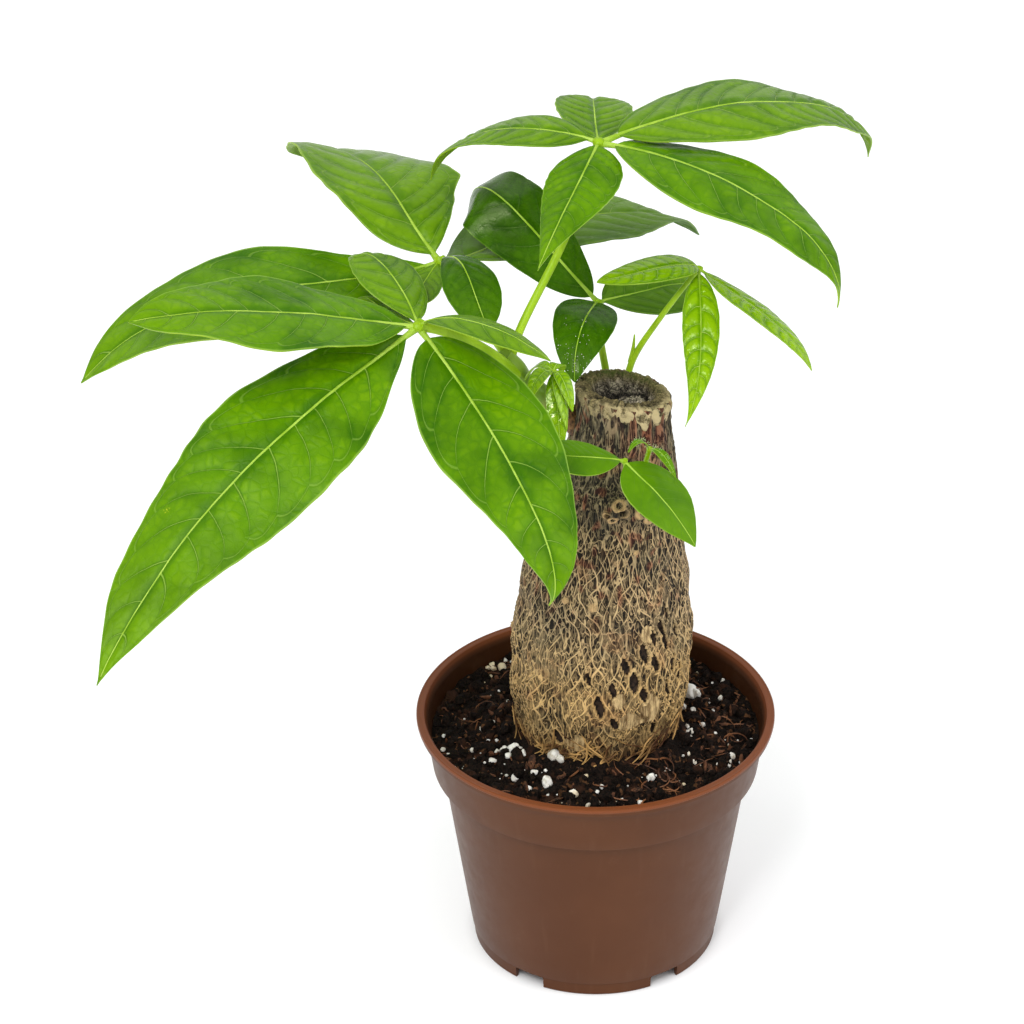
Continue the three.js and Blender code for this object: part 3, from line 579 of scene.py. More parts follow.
# ---- Pot ----------------------------------------------------------------------------------------
def pot_profile():
    """Half section of the pot from the middle of its pad, round its outside, to its floor inside."""
    low = POT_HEIGHT - LIP_HEIGHT
    slope = (BODY_TOP - BODY_LOW) / (COLLAR_LOW_Z - FOOT_HEIGHT)
    inner_low = BODY_LOW - WALL + slope * (FLOOR_TOP_Z - FOOT_HEIGHT)
    points = [(0, 0), (PAD_RADIUS - 0.4, 0), (PAD_RADIUS, 0.3), (PAD_RADIUS + 0.8, FLOOR_UNDER_Z)]
    points += [(FOOT_INNER, FLOOR_UNDER_Z), (FOOT_INNER, 0.2), (FOOT_INNER + 0.2, 0)]
    points += [(FOOT_RADIUS - 0.4, 0), (FOOT_RADIUS, 0.35), (FOOT_RADIUS + 0.25, FOOT_HEIGHT - 0.15)]
    points += [(FOOT_RADIUS + 0.45, FOOT_HEIGHT), (BODY_LOW - 0.1, FOOT_HEIGHT + 0.12)]
    points += [(BODY_LOW, FOOT_HEIGHT + 0.45)]
    for share in np.linspace(0.1, 0.95, 9):
        height = FOOT_HEIGHT + 0.45 + (COLLAR_LOW_Z - FOOT_HEIGHT - 0.7) * share
        points.append((BODY_LOW + slope * (height - FOOT_HEIGHT), height))
    points += [(BODY_TOP - 0.05, COLLAR_LOW_Z - 0.35), (BODY_TOP + 0.3, COLLAR_LOW_Z - 0.05)]
    points += [(COLLAR_LOW - 0.45, COLLAR_LOW_Z), (COLLAR_LOW - 0.1, COLLAR_LOW_Z + 0.15)]
    points += [(COLLAR_LOW, COLLAR_LOW_Z + 0.5)]
    for share in (0.25, 0.5, 0.75, 0.96):
        height = COLLAR_LOW_Z + 0.5 + (low - COLLAR_LOW_Z - 0.7) * share
        points.append((COLLAR_LOW + (COLLAR_TOP - COLLAR_LOW) * share, height))
    points += [(COLLAR_TOP + 0.15, low - 0.15), (RIM_RADIUS - 0.75, low), (RIM_RADIUS - 0.5, low + 0.15)]
    points += [(RIM_RADIUS - 0.42, low + 0.8), (RIM_RADIUS - 0.2, low + 0.95)]
    points += [(RIM_RADIUS - 0.16, low + 1.6), (RIM_RADIUS, low + 1.8)]
    points += [(RIM_RADIUS, POT_HEIGHT - 0.45), (RIM_RADIUS - 0.14, POT_HEIGHT - 0.12)]
    points += [(RIM_RADIUS - 0.45, POT_HEIGHT), (RIM_RADIUS - 0.8, POT_HEIGHT - 0.16)]
    points += [(RIM_RADIUS - 1.6, POT_HEIGHT - 0.1), (RIM_INNER + 0.5, POT_HEIGHT - 0.05)]
    points += [(RIM_INNER + 0.15, POT_HEIGHT - 0.2), (RIM_INNER, POT_HEIGHT - 0.55)]
    points += [(COLLAR_TOP - WALL + 0.3, low + 0.3), (COLLAR_TOP - WALL, low - 0.4)]
    points += [(COLLAR_LOW - WALL, COLLAR_LOW_Z + 0.6), (COLLAR_LOW - WALL - 0.3, COLLAR_LOW_Z)]
    points += [(BODY_TOP - WALL, COLLAR_LOW_Z - 2 * WALL), (inner_low, FLOOR_TOP_Z + 0.8)]
    points += [(inner_low - 0.8, FLOOR_TOP_Z), (0, FLOOR_TOP_Z)]
    return points


def cut_away(piece, cutter, turn):
    """Turn the cutter about the middle of the pot, and cut it away."""
    cutter.data.transform(Matrix.Rotation(turn, 4, "Z"))
    apply_modifier(piece, "BOOLEAN", operation="DIFFERENCE", solver="EXACT", object=cutter)
    bpy.data.objects.remove(cutter)


def make_pot():
    deselect()
    bpy.ops.mesh.primitive_plane_add(size=MM)
    pot = bpy.context.active_object
    points = np.array([(-radius, 0.0, height) for radius, height in pot_profile()])
    rows = [(index, index + 1) for index in range(len(points) - 1)]
    pot.data.clear_geometry()
    pot.data.from_pydata((points * MM).tolist(), rows, [])
    with editing(pot):
        bpy.ops.mesh.spin(steps=POT_STEPS, angle=TURN, center=(0, 0, 0), axis=(0, 0, 1))
    close_seams(pot)
    for angle in NOTCH_ANGLES:
        turn = math.radians(angle - 90)
        deselect()
        bpy.ops.mesh.primitive_cube_add(size=1, location=(FOOT_RADIUS * MM, 0, 0))
        notch = bpy.context.active_object
        notch.scale = (NOTCH_DEPTH * MM, NOTCH_WIDTH * MM, 2 * (FOOT_HEIGHT - 0.4) * MM)
        bpy.ops.object.transform_apply(location=True, rotation=True, scale=True)
        apply_modifier(notch, "BEVEL", width=0.7 * MM, segments=3, limit_method="ANGLE")
        cut_away(pot, notch, turn)
        deselect()
        bpy.ops.mesh.primitive_cylinder_add(
            vertices=32, radius=DRAIN_RADIUS * MM, depth=4 * FLOOR_TOP_Z * MM,
            location=(DRAIN_CIRCLE * MM, 0, 0),
        )
        drain = bpy.context.active_object
        bpy.ops.object.transform_apply(location=True, rotation=True, scale=True)
        cut_away(pot, drain, turn)
    pot.name = "pot_shell"
    pot.data.name = "pot_shell"
    finish(pot, 34, material("pot plastic", pot_plastic), "pot")


# ---- Trunk --------------------------------------------------------------------------------------
def girth_at(height):
    """Middle and half-widths of the trunk, read smoothly between its stations."""
    known = GIRTH[:, 0]
    result = []
    for column in (1, 2, 3):
        values = GIRTH[:, column]
        near = np.interp(height - 3.5, known, values)
        far = np.interp(height + 3.5, known, values)
        result.append((near + 2 * np.interp(height, known, values) + far) / 4)
    return result


def arc_gap(angle, height, spot_angle, spot_height, radius):
    """Distances along the bark and up it from a spot."""
    turn = np.angle(np.exp(1j * (angle - math.radians(spot_angle))))
    return turn * radius, height - spot_height


def gaps_from(table, angle, height, wide):
    """Distances along the bark and up it from each spot of a table, with the spot's own sizes."""
    for spot_angle, spot_height, *sizes in table:
        yield *arc_gap(angle, height, spot_angle, spot_height, wide), *sizes


def broad_relief(angle, height, wide):
    """The form that shows from a step away: furrows above, crossing swells below, and swollen knots."""
    share = smoothstep(NET_FROM, NET_FULL, TRUNK_TOP_Z - height)
    furrows = np.sin(angle * FURROWS + 1.5 * np.sin(height * 0.06))
    climb = height * NET_RISE
    net = np.sin(angle * NET_MESHES + climb) * np.sin(angle * NET_MESHES - climb + 1)
    relief = FURROW_DEPTH * (1 - share) * furrows + NET_DEPTH * share * net
    for side, rise, radius, proud in gaps_from(SWELLS, angle, height, wide):
        relief = relief + proud * np.exp(-(side * side + rise * rise) / radius ** 2)
    return relief


def thread_fields(angle, height, wide, deep):
    """Two families of climbing threads; a whole number of either field is the middle of a thread."""
    flat = np.column_stack((np.cos(angle) * wide, np.sin(angle) * deep, height))
    turn = angle / TURN * THREADS_AROUND
    climb = height / THREAD_CLIMB
    rising = turn + climb + 0.8 * clouds(flat, 15, 7.7) + 0.5 * clouds(flat * (1, 1, 0.8), 5, 17.0)
    falling = turn - climb + 0.8 * clouds(flat, 15, 57.1) + 0.5 * clouds(flat * (1, 1, 0.8), 5, 61.0)
    rising_show = smoothstep(-0.30, 0.05, clouds(flat * (1, 1, 0.5), 7, 71.0))
    falling_show = smoothstep(-0.30, 0.05, clouds(flat * (1, 1, 0.5), 7, 91.0))
    return rising, falling, rising_show, falling_show


def near_whole(field, reach):
    gap = np.abs(field - np.round(field))
    return np.exp(-(gap / reach) ** 2)


def bark_relief(angle, height):
    """Height of the bark above the plain girth, the marks for its material, and its threads."""
    _, wide, deep = girth_at(height)
    flat = np.column_stack((np.cos(angle) * wide, np.sin(angle) * deep, height))
    sway = np.column_stack((clouds(flat, 9, 3.1), clouds(flat, 9, 17.7), clouds(flat, 12, 31.3)))
    net_share = smoothstep(22, 48, TRUNK_TOP_Z - height)
    low_share = smoothstep(55, 100, TRUNK_TOP_Z - height)
    rising, falling, rising_show, falling_show = thread_fields(angle, height, wide, deep)
    ridge = np.maximum(near_whole(rising, 0.17) * rising_show, near_whole(falling, 0.17) * falling_show)
    strands = flat * (1, 1, 0.09)
    fibre = np.clip(1 - np.abs(clouds(strands + sway * 0.35, 1.7, 2.0)) * 3.5, 0, 1)
    wisp = np.clip(1 - np.abs(clouds(strands + sway * 0.3, 0.9, 9.0)) * 3.5, 0, 1)
    grow = net_share * ridge * (0.35 + 0.4 * low_share) + (1 - net_share) * (0.4 * fibre + 0.2 * wisp)
    broad = broad_relief(angle, height, wide)
    grow = grow + 0.25 * clouds(flat, 6, 8.0) + broad - 0.4
    tone = net_share * (0.16 + 0.25 * low_share)
    tone = tone + (1 - net_share) * (0.12 + 0.35 * fibre + 0.2 * wisp) + 0.34 * clouds(flat, 11, 2.0)
    buff, eyes, plates, lips = np.zeros((4, len(height)))
    for side, rise, ring, proud in gaps_from(KNOTS, angle, height, wide):
        gap = np.hypot(side, rise * 1.1) + 0.25 * clouds(flat, 1.6, 5.0)
        band = np.exp(-((gap - ring) / (0.45 * ring)) ** 2)
        near = np.exp(-(gap / (2.5 * ring)) ** 2)
        hole = np.exp(-(gap / (0.45 * ring)) ** 2)
        grow = grow + proud * (1.3 * band - 1.3 * hole + 0.4 * near)
        tone = tone * (1 - near) + near * (1.05 * band - 0.6 * hole)
        buff = np.maximum(buff, band)
    for side, rise, ring in gaps_from(PORES, angle, height, wide):
        spot = 1 - smoothstep(0.8, 1.15, np.hypot(side, rise) / ring)
        grow = grow + 0.7 * spot
        tone = tone * (1 - spot) + 0.95 * spot
        buff = np.maximum(buff, spot)
    for side, rise, half, tall_half in gaps_from(PLATES, angle, height, wide):
        ragged = np.hypot(side / half, rise / tall_half) + 0.35 * clouds(flat, 3.0, 6.0)
        plate = 1 - smoothstep(0.82, 0.92, ragged)
        lip = np.exp(-((ragged - 0.98) / 0.08) ** 2)
        plates = np.maximum(plates, plate)
        grow = grow * (1 - plate) + plate * (broad - 0.2) + 0.55 * lip
        # A dark line is painted along each plate's ragged lip: a painted shadow line.
        tone = tone * (1 - plate) + plate * (0.55 + 0.25 * wisp + 0.3 * clouds(flat, 3, 13.0)) - 0.3 * lip
    for side, rise, half, tall_half in gaps_from(EYES, angle, height, wide):
        bend = side / (0.85 * half) + 0.35 * np.sin(rise / tall_half * 2) + 0.12 * clouds(flat, 2.5, 3.0)
        lens = np.abs(bend) + (rise / (1.1 * tall_half)) ** 2
        eye = 1 - smoothstep(0.7, 0.95, lens)
        lid = np.exp(-((lens - 1.15) / 0.2) ** 2)
        eyes = np.maximum(eyes, eye)
        lips = np.maximum(lips * (1 - eye), lid)
        grow = grow - 1.3 * eye + 0.6 * lid
        # Each sunken eye is painted dark, as painted shade in the hollow, and its raised lid lighter.
        tone = tone * (1 - eye) + 0.5 * lid
        buff = buff * (1 - eye)
    strip = smoothstep(-26, -8, height - TRUNK_TOP_Z)
    front = np.exp(-(arc_gap(angle, height, -58, 0, 1.0)[0] / 0.62) ** 2)
    rust = strip * front * smoothstep(-0.15, 0.25, clouds(strands, 2.4, 21.0))
    flecks = smoothstep(0.30, 0.5, clouds(flat * (1, 1, 0.6), 2.4, 41.0)) * smoothstep(128, 150, height)
    rust = np.maximum(rust, 0.8 * flecks * (1 - buff))
    marks = {
        "bark": (np.clip(tone, 0, 1.3), np.clip(buff, 0, 1), np.clip(rust, 0, 1)),
        "threads": (rising_show, falling_show),
        "patches": (eyes, plates * (1 - eyes), lips * (1 - eyes)),
    }
    return grow, marks, (rising, falling)


def lay_bark(a, b):
    """Rows up the bark; the lowest and highest rows close to a point inside the wood."""
    angle = -math.pi + TURN * a
    rise = np.clip((b - BARK_LOW_SHARE) / (BARK_TOP_SHARE - BARK_LOW_SHARE), 0, 1)
    height = np.interp(rise, (0, BARK_BURIED, 1), (TRUNK_BOTTOM_Z, BARK_FROM, TRUNK_TOP_Z))
    middle, wide, deep = girth_at(height)
    grow, marks, threads = bark_relief(angle, height)
    grow = grow * smoothstep(BARK_FROM - 16, BARK_FROM, height)
    shrink = np.where(b < BARK_LOW_SHARE, b / BARK_LOW_SHARE, 1.0)
    shrink = np.where(b > BARK_TOP_SHARE, (1 - b) / (1 - BARK_TOP_SHARE), shrink)
    sink = np.where(b > BARK_TOP_SHARE, BARK_CAP_DROP * smoothstep(0.0, 0.3, 1 - shrink), 0)
    out_x = (wide + grow) * np.cos(angle) * shrink
    out_y = (deep + grow) * np.sin(angle) * shrink
    lean = CUT_TILT * out_x * smoothstep(TILT_FROM, TRUNK_TOP_Z, height)
    return np.column_stack((middle + out_x, out_y, height + lean - sink)), (marks, threads)


def make_bark():
    bark, (marks, threads) = sheet("trunk_bark", BARK_AROUND, BARK_ALONG, lay_bark)
    for name, values in marks.items():
        mark(bark.data, name, *values)
    rising, falling = threads
    corners = corners_of(bark.data)
    add_map(bark.data, "crossing threads", rising[corners], falling[corners])
    close_seams(bark)
    finish(bark, 80, material("bark skin", bark_skin), "trunk")


def lay_cut(a, b):
    """From deep inside, up under the sawn edge, over the rough rim and down into the cracked middle."""
    angle = -math.pi + TURN * a
    rim_width = CUT_WALL - CUT_SWAY * np.sin(angle) + 0.5 * np.sin(3 * angle)
    low = np.interp(b, (0, 0.04, 0.10, CUT_EDGE), (3.2, 0.6, -0.3, CUT_INSET))
    flat_part = CUT_INSET + (rim_width - CUT_INSET) * (b - CUT_EDGE) / (CUT_RIM - CUT_EDGE)
    slope = rim_width + CUT_SLOPE * (b - CUT_RIM) / (CUT_BOWL - CUT_RIM)
    top = np.full(len(a), TRUNK_TOP_Z)
    middle, wide, deep = girth_at(top)
    bowl_width = wide - rim_width - CUT_SLOPE
    floor = rim_width + CUT_SLOPE + bowl_width * (b - CUT_BOWL) / (1 - CUT_BOWL)
    inset = np.select((b < CUT_EDGE, b < CUT_RIM, b < CUT_BOWL), (low, flat_part, slope), floor)
    stops = (0, 0.04, 0.10, CUT_EDGE, CUT_RIM, CUT_BOWL, 1)
    depth = np.interp(b, stops, (-11, -5.0, -1.2, 0.2, 0.3, -3.2, -CUT_DEPTH))
    share = np.clip(1 - inset / wide, 0, 2)
    flat = np.column_stack((np.cos(angle) * wide * share, np.sin(angle) * deep * share, depth))
    rim = smoothstep(0.03, 0.1, b) * (1 - smoothstep(0.38, 0.52, b))
    bowl = smoothstep(0.42, 0.54, b)
    rough = 0.5 * clouds(flat, 2.4, 1.0) + 0.5 * clouds(flat, 1.0, 2.0) + 0.4 * clouds(flat, 0.5, 3.0)
    rays = np.column_stack((np.cos(angle), np.sin(angle), share * 0.25))
    ray = clouds(rays, 0.085, 4.0)
    split = cell_edges(flat * (1, 1, 0.1) + 1.6 * np.column_stack((rough, -rough, rough)), 4.4, 3.0)
    crack = 1 - smoothstep(0.03, 0.22, split)
    hole = np.exp(-(np.hypot(flat[:, 0] + 4.6, (flat[:, 1] - 0.5) * 1.25) / 2.3) ** 2)
    trough = np.exp(-((flat[:, 1] - 4.0 - 0.2 * flat[:, 0]) / 1.0) ** 2) * smoothstep(-7, 0, flat[:, 0])
    plate = np.exp(-(np.hypot((flat[:, 0] - 4.0) / 4.2, (flat[:, 1] + 0.6) / 2.2)) ** 4)
    lump = clouds(flat, 4.6, 7.0)
    notch = np.exp(-(clouds(rays, 0.2, 14.0) / 0.07) ** 2)
    rise = rim * (rough * 0.9 + 0.35 * ray - 0.8 * notch)
    rise = rise + bowl * (1.0 * rough + 1.1 * lump - 1.5 * crack * (1 - plate) - 4.0 * hole - 1.6 * trough)
    rise = rise + bowl * plate * 0.9
    fringe = smoothstep(0.02, 0.05, b) * (1 - smoothstep(0.12, 0.17, b))
    hang = clouds(np.column_stack((np.cos(angle), np.sin(angle), angle * 0)), 0.16, 3.0)
    side = np.exp(-(arc_gap(angle, top, -52, 0, 1.0)[0] / 1.0) ** 2)
    drop = fringe * (np.clip(hang + 0.15, 0, 1) * (1.2 + 3.6 * side)) * -1.0
    out = fringe * (0.35 * clouds(flat, 1.4, 5.0) + 0.15)
    out_x = flat[:, 0] + out * np.cos(angle)
    out_y = flat[:, 1] + out * np.sin(angle)
    # The tone is painted darker where the wood sinks, in the notches of the rim and in the cracks, hole and
    # trough of the middle: painted shade in these hollows.
    tone = np.clip(0.5 + 0.6 * rough + 0.4 * ray - 0.45 * notch, 0, 1) * (1 - bowl)
    heart = 0.34 + 0.55 * rough + 0.3 * lump - 0.5 * crack - 1.2 * hole - 0.9 * trough + 0.35 * plate
    tone = tone + bowl * np.clip(heart, 0, 1)
    pale = smoothstep(0.02, 0.06, b) * (1 - smoothstep(0.16, 0.32, b)) * (0.25 + 0.75 * side)
    moss = rim * np.exp(-(arc_gap(angle, top, 95, 0, 1.0)[0] / 1.1) ** 2)
    height = top + depth + rise + drop + CUT_TILT * out_x
    return np.column_stack((middle + out_x, out_y, height)), (tone, np.clip(pale, 0, 1), bowl, moss)


def make_cut():
    top, (tone, pale, bowl, moss) = sheet("trunk_cut", CUT_AROUND, CUT_ALONG, lay_cut)
    mark(top.data, "cut", tone, pale, bowl)
    mark(top.data, "moss", moss)
    close_seams(top)
    with editing(top):
        bpy.ops.mesh.select_all(action="DESELECT")
        bpy.ops.mesh.select_non_manifold()
        bpy.ops.mesh.edge_face_add()
        bpy.ops.mesh.select_all(action="SELECT")
        bpy.ops.mesh.normals_make_consistent(inside=False)
    finish(top, 80, material("sawn wood", sawn_wood), "trunk")


# ---- Soil ---------------------------------------------------------------------------------------
def soil_level(out, angle):
    share = smoothstep(MOUND_INNER, MOUND_OUTER, out)
    swell = np.sin(angle * 5 + out * 0.35) + 0.7 * np.sin(angle * 9 - out * 0.6 + 1)
    calm = 1 - smoothstep(CALM_FROM, CALM_TO, out)
    return SOIL_EDGE_Z + SOIL_MOUND * (1 - share) + LUMP_HEIGHT * swell * calm


def soil_height(x, y):
    """Height of the soil's broken surface."""
    spots = np.column_stack((x, y, np.zeros(len(x))))
    out = np.hypot(x, y)
    height = soil_level(out, np.arctan2(y, x))
    bent = spots + 2 * np.column_stack((clouds(spots, 5, 1.0), clouds(spots, 5, 7.0), x * 0))
    clod = cell_edges(bent, 7.5, 2.0)
    height = height + 1.9 * np.clip(clod, 0, 0.7) - 1.1 + 0.9 * clouds(spots, 4.5, 9.0)
    # Soil is heaped against the front of the trunk.
    height = height + HEAP * np.exp(-((out - HEAP_RING) / HEAP_SPREAD) ** 2) * smoothstep(8, -12, y)
    return height + 0.8 * clouds(spots, 1.9, 5.0) + 0.45 * clouds(spots, 0.9, 6.0)


def lay_soil(a, b):
    """Round the trunk's hole, over the broken surface, down the wall and back under the trunk."""
    angle = -math.pi + TURN * a
    run = b * 9.0
    middle, wide, deep = girth_at(np.full(len(a), 82.0))
    _, foot_wide, foot_deep = girth_at(np.full(len(a), TRUNK_BOTTOM_Z))
    hole_x = middle + (wide - SOIL_TUCK) * np.cos(angle)
    hole = np.hypot(hole_x, (deep - SOIL_TUCK) * np.sin(angle))
    well_x = 0.5 + (foot_wide + 0.4) * np.cos(angle)
    well = np.hypot(well_x, (foot_deep + 0.4) * np.sin(angle))
    wall = COLLAR_LOW - WALL - 0.5
    out = np.select(
        (run < 0.5, run < 1, run < 7.5, run < 8.0, run < 8.3),
        (well * run / 0.5, well + (hole - well) * (run - 0.5) / 0.5,
         hole + (SOIL_EDGE_RADIUS - hole) * (run - 1) / 6.5,
         SOIL_EDGE_RADIUS + (wall - SOIL_EDGE_RADIUS) * (run - 7.5) / 0.5,
         wall + (BODY_TOP - COLLAR_LOW - 0.3) * (run - 8.0) / 0.3),
        BODY_TOP - WALL - SOIL_GAP + (BODY_LOW - BODY_TOP) * (run - 8.3) / 0.45,
    )
    under = (BODY_LOW - WALL - SOIL_GAP) * np.clip((9.0 - run) / 0.25, 0, 1)
    out = np.where(run > 8.75, under, out)
    x = out * np.cos(angle)
    y = out * np.sin(angle)
    top = soil_height(x, y)
    wall_low = COLLAR_LOW_Z + 1
    height = np.select(
        (run < 0.5, run < 1, run < 7.5, run < 8.0, run < 8.3, run < 8.75),
        (np.full(len(a), TRUNK_BOTTOM_Z - 0.3),
         TRUNK_BOTTOM_Z - 0.3 + (top - TRUNK_BOTTOM_Z) * (run - 0.5) / 0.5,
         top, top + (wall_low - top) * (run - 7.5) / 0.5, wall_low - COLLAR_STEP * (run - 8.0) / 0.3,
         wall_low - COLLAR_STEP + (SOIL_UNDER_Z - wall_low + COLLAR_STEP) * (run - 8.3) / 0.45),
        SOIL_UNDER_Z,
    )
    return np.column_stack((x, y, height)), None


def make_soil():
    soil, _ = sheet("soil_bed", SOIL_AROUND, SOIL_ALONG, lay_soil)
    close_seams(soil)
    finish(soil, 80, material("peat", peat), "soil")


def lumps(name, grains, detail, rough, seed, flat=(0.7, 0.6)):
    """Irregular grains: each is a small ball, squashed, turned and dented, all in one mesh."""
    deselect()
    bpy.ops.mesh.primitive_ico_sphere_add(subdivisions=detail, radius=1)
    pattern = bpy.context.active_object
    shape = places(pattern.data)
    faces = np.array([tuple(face.vertices) for face in pattern.data.polygons])
    chance = random.Random(seed)
    all_points = []
    all_faces = []
    for x, y, z, radius in grains:
        shift = chance.uniform(0, 50)
        bent = shape * (1 + rough * clouds(shape, 0.85, shift))[:, None]
        bent = bent * (1, chance.uniform(flat[0], 1.4 * flat[0]), chance.uniform(flat[1], 1.55 * flat[1]))
        turn = Euler((chance.uniform(0, 6.3), chance.uniform(0, 6.3), chance.uniform(0, 6.3))).to_matrix()
        bent = bent @ np.array(turn)
        all_faces.append(faces + len(all_points) * len(shape))
        all_points.append(bent * radius + (x, y, z))
    pattern.data.clear_geometry()
    pattern.data.from_pydata((np.vstack(all_points) * MM).tolist(), [], np.vstack(all_faces).tolist())
    pattern.name = name
    pattern.data.name = name
    return pattern


def scatter(chance, count, inner=GRAIN_INNER, outer=GRAIN_OUTER):
    """Places on the soil, spread evenly between two radii."""
    spots = []
    for _ in range(count):
        angle = chance.uniform(0, TURN)
        out = math.sqrt(chance.uniform(inner * inner, outer * outer))
        spots.append((out * math.cos(angle), out * math.sin(angle)))
    return np.array(spots)


def make_soil_bits():
    chance = random.Random(7)
    for name, (count, detail, small, large, flat) in SOIL_BITS.items():
        spots = scatter(chance, count)
        level = soil_height(spots[:, 0], spots[:, 1])
        grains = []
        for (x, y), z in zip(spots, level):
            radius = small + (large - small) * chance.random() ** 2
            if GRAIN_OUTER + 0.8 - math.hypot(x, y) > 0.9 * radius:
                grains.append((x, y, z + 0.15 * radius, radius))
        skin = material("wood chip", wood_chip) if name == "chips" else material("peat", peat)
        bits = lumps("soil_" + name, grains, detail, 0.55, 11 + detail, flat)
        finish(bits, 40, skin, "soil")


def make_perlite():
    chance = random.Random(23)
    known = np.array(PERLITE)
    out = np.hypot(known[:, 0], known[:, 1])
    known[:, :2] *= np.minimum(1, (GRAIN_OUTER - known[:, 2]) / out)[:, None]
    level = soil_height(known[:, 0], known[:, 1])
    grains = []
    for (x, y, radius), z in zip(known, level):
        grains.append((x, y, z + 0.45 * radius, radius * 0.92))
        if radius > 1.35:
            turn = chance.uniform(0, TURN)
            part = radius * chance.uniform(0.5, 0.7)
            grains.append((x + part * math.cos(turn), y + part * math.sin(turn), z + 0.35 * radius, part))
    large = lumps("perlite_large", grains, 3, 0.42, 31)
    finish(large, 50, material("perlite", perlite_white), "soil")
    spots = scatter(chance, SMALL_PERLITE, GRAIN_INNER, GRAIN_OUTER - 1)
    level = soil_height(spots[:, 0], spots[:, 1])
    grains = []
    for (x, y), z in zip(spots, level):
        radius = 0.25 + 0.8 * chance.random() ** 2.2
        grains.append((x, y, z + 0.4 * radius, radius))
    small = lumps("perlite_small", grains, 2, 0.5, 37)
    finish(small, 50, material("perlite", perlite_white), "soil")


def fibre_run(chance, x, y, length, radius, curl):
    """A root fibre that wanders over the soil and dips into it at both ends."""
    heading = chance.uniform(0, TURN)
    turn = chance.uniform(-curl, curl)
    count = 12
    step = length / count
    run = []
    for index in range(count + 1):
        run.append((x, y))
        heading += turn + chance.uniform(-0.35, 0.35)
        x += step * math.cos(heading)
        y += step * math.sin(heading)
        if math.hypot(x, y) > CALM_TO:
            heading += 1.2
            x *= 0.97
            y *= 0.97
    run = np.array(run)
    level = soil_height(run[:, 0], run[:, 1])
    share = np.linspace(0, 1, count + 1)
    lift = chance.uniform(0.6, 2.2) * np.sin(math.pi * share) - 0.4
    z = np.maximum(np.mean(level) + lift, level + 0.2)
    z = z * np.sin(math.pi * share) ** 0.3 + (1 - np.sin(math.pi * share) ** 0.3) * (level - 0.6)
    girth = radius * (0.35 + 0.65 * np.sin(math.pi * np.clip(share + 0.15, 0, 1)))
    return np.column_stack((run, z)), girth


def make_frays():
    """Torn golden fibres of the bark where the trunk enters the soil."""
    chance = random.Random(29)
    runs = []
    for _ in range(FRAYS):
        angle = math.radians(chance.gauss(-92, 40))
        low = chance.uniform(81.0, 85.5)
        tall = chance.uniform(3, 12)
        reach = chance.uniform(0.1, 0.6) * chance.choice((-1, 1))
        share = np.linspace(0, 1, 10)
        height = low + tall * share
        swing = angle + reach * share + 0.03 * np.sin(share * chance.uniform(4, 9))
        _, wide, deep = girth_at(height)
        out = 0.15 + chance.uniform(0.6, 3.4) * (1 - share) ** 2 + chance.uniform(0, 1.2) * share ** 4
        run = np.column_stack((0.8 + (wide + out) * np.cos(swing), (deep + out) * np.sin(swing), height))
        girth = 0.35 + 0.65 * np.sin(math.pi * (0.1 + 0.8 * share))
        runs.append((run, chance.uniform(0.12, 0.42) * girth))
    finish(tubes("bark_frays", runs, 1), 80, material("frayed bark", frayed_bark), "trunk")


def make_fibres():
    chance = random.Random(5)
    spots = scatter(chance, FIBRES, 33, 52)
    runs = []
    for x, y in spots:
        runs.append(fibre_run(chance, x, y, chance.uniform(4, 13), chance.uniform(0.12, 0.3), 0.3))
    for x, y in TANGLES:
        for _ in range(3):
            runs.append(fibre_run(chance, x, y, chance.uniform(11, 19), chance.uniform(0.2, 0.34), 0.55))
    finish(tubes("root_fibres", runs, 0), 80, material("root fibre", root_fibre), "soil")


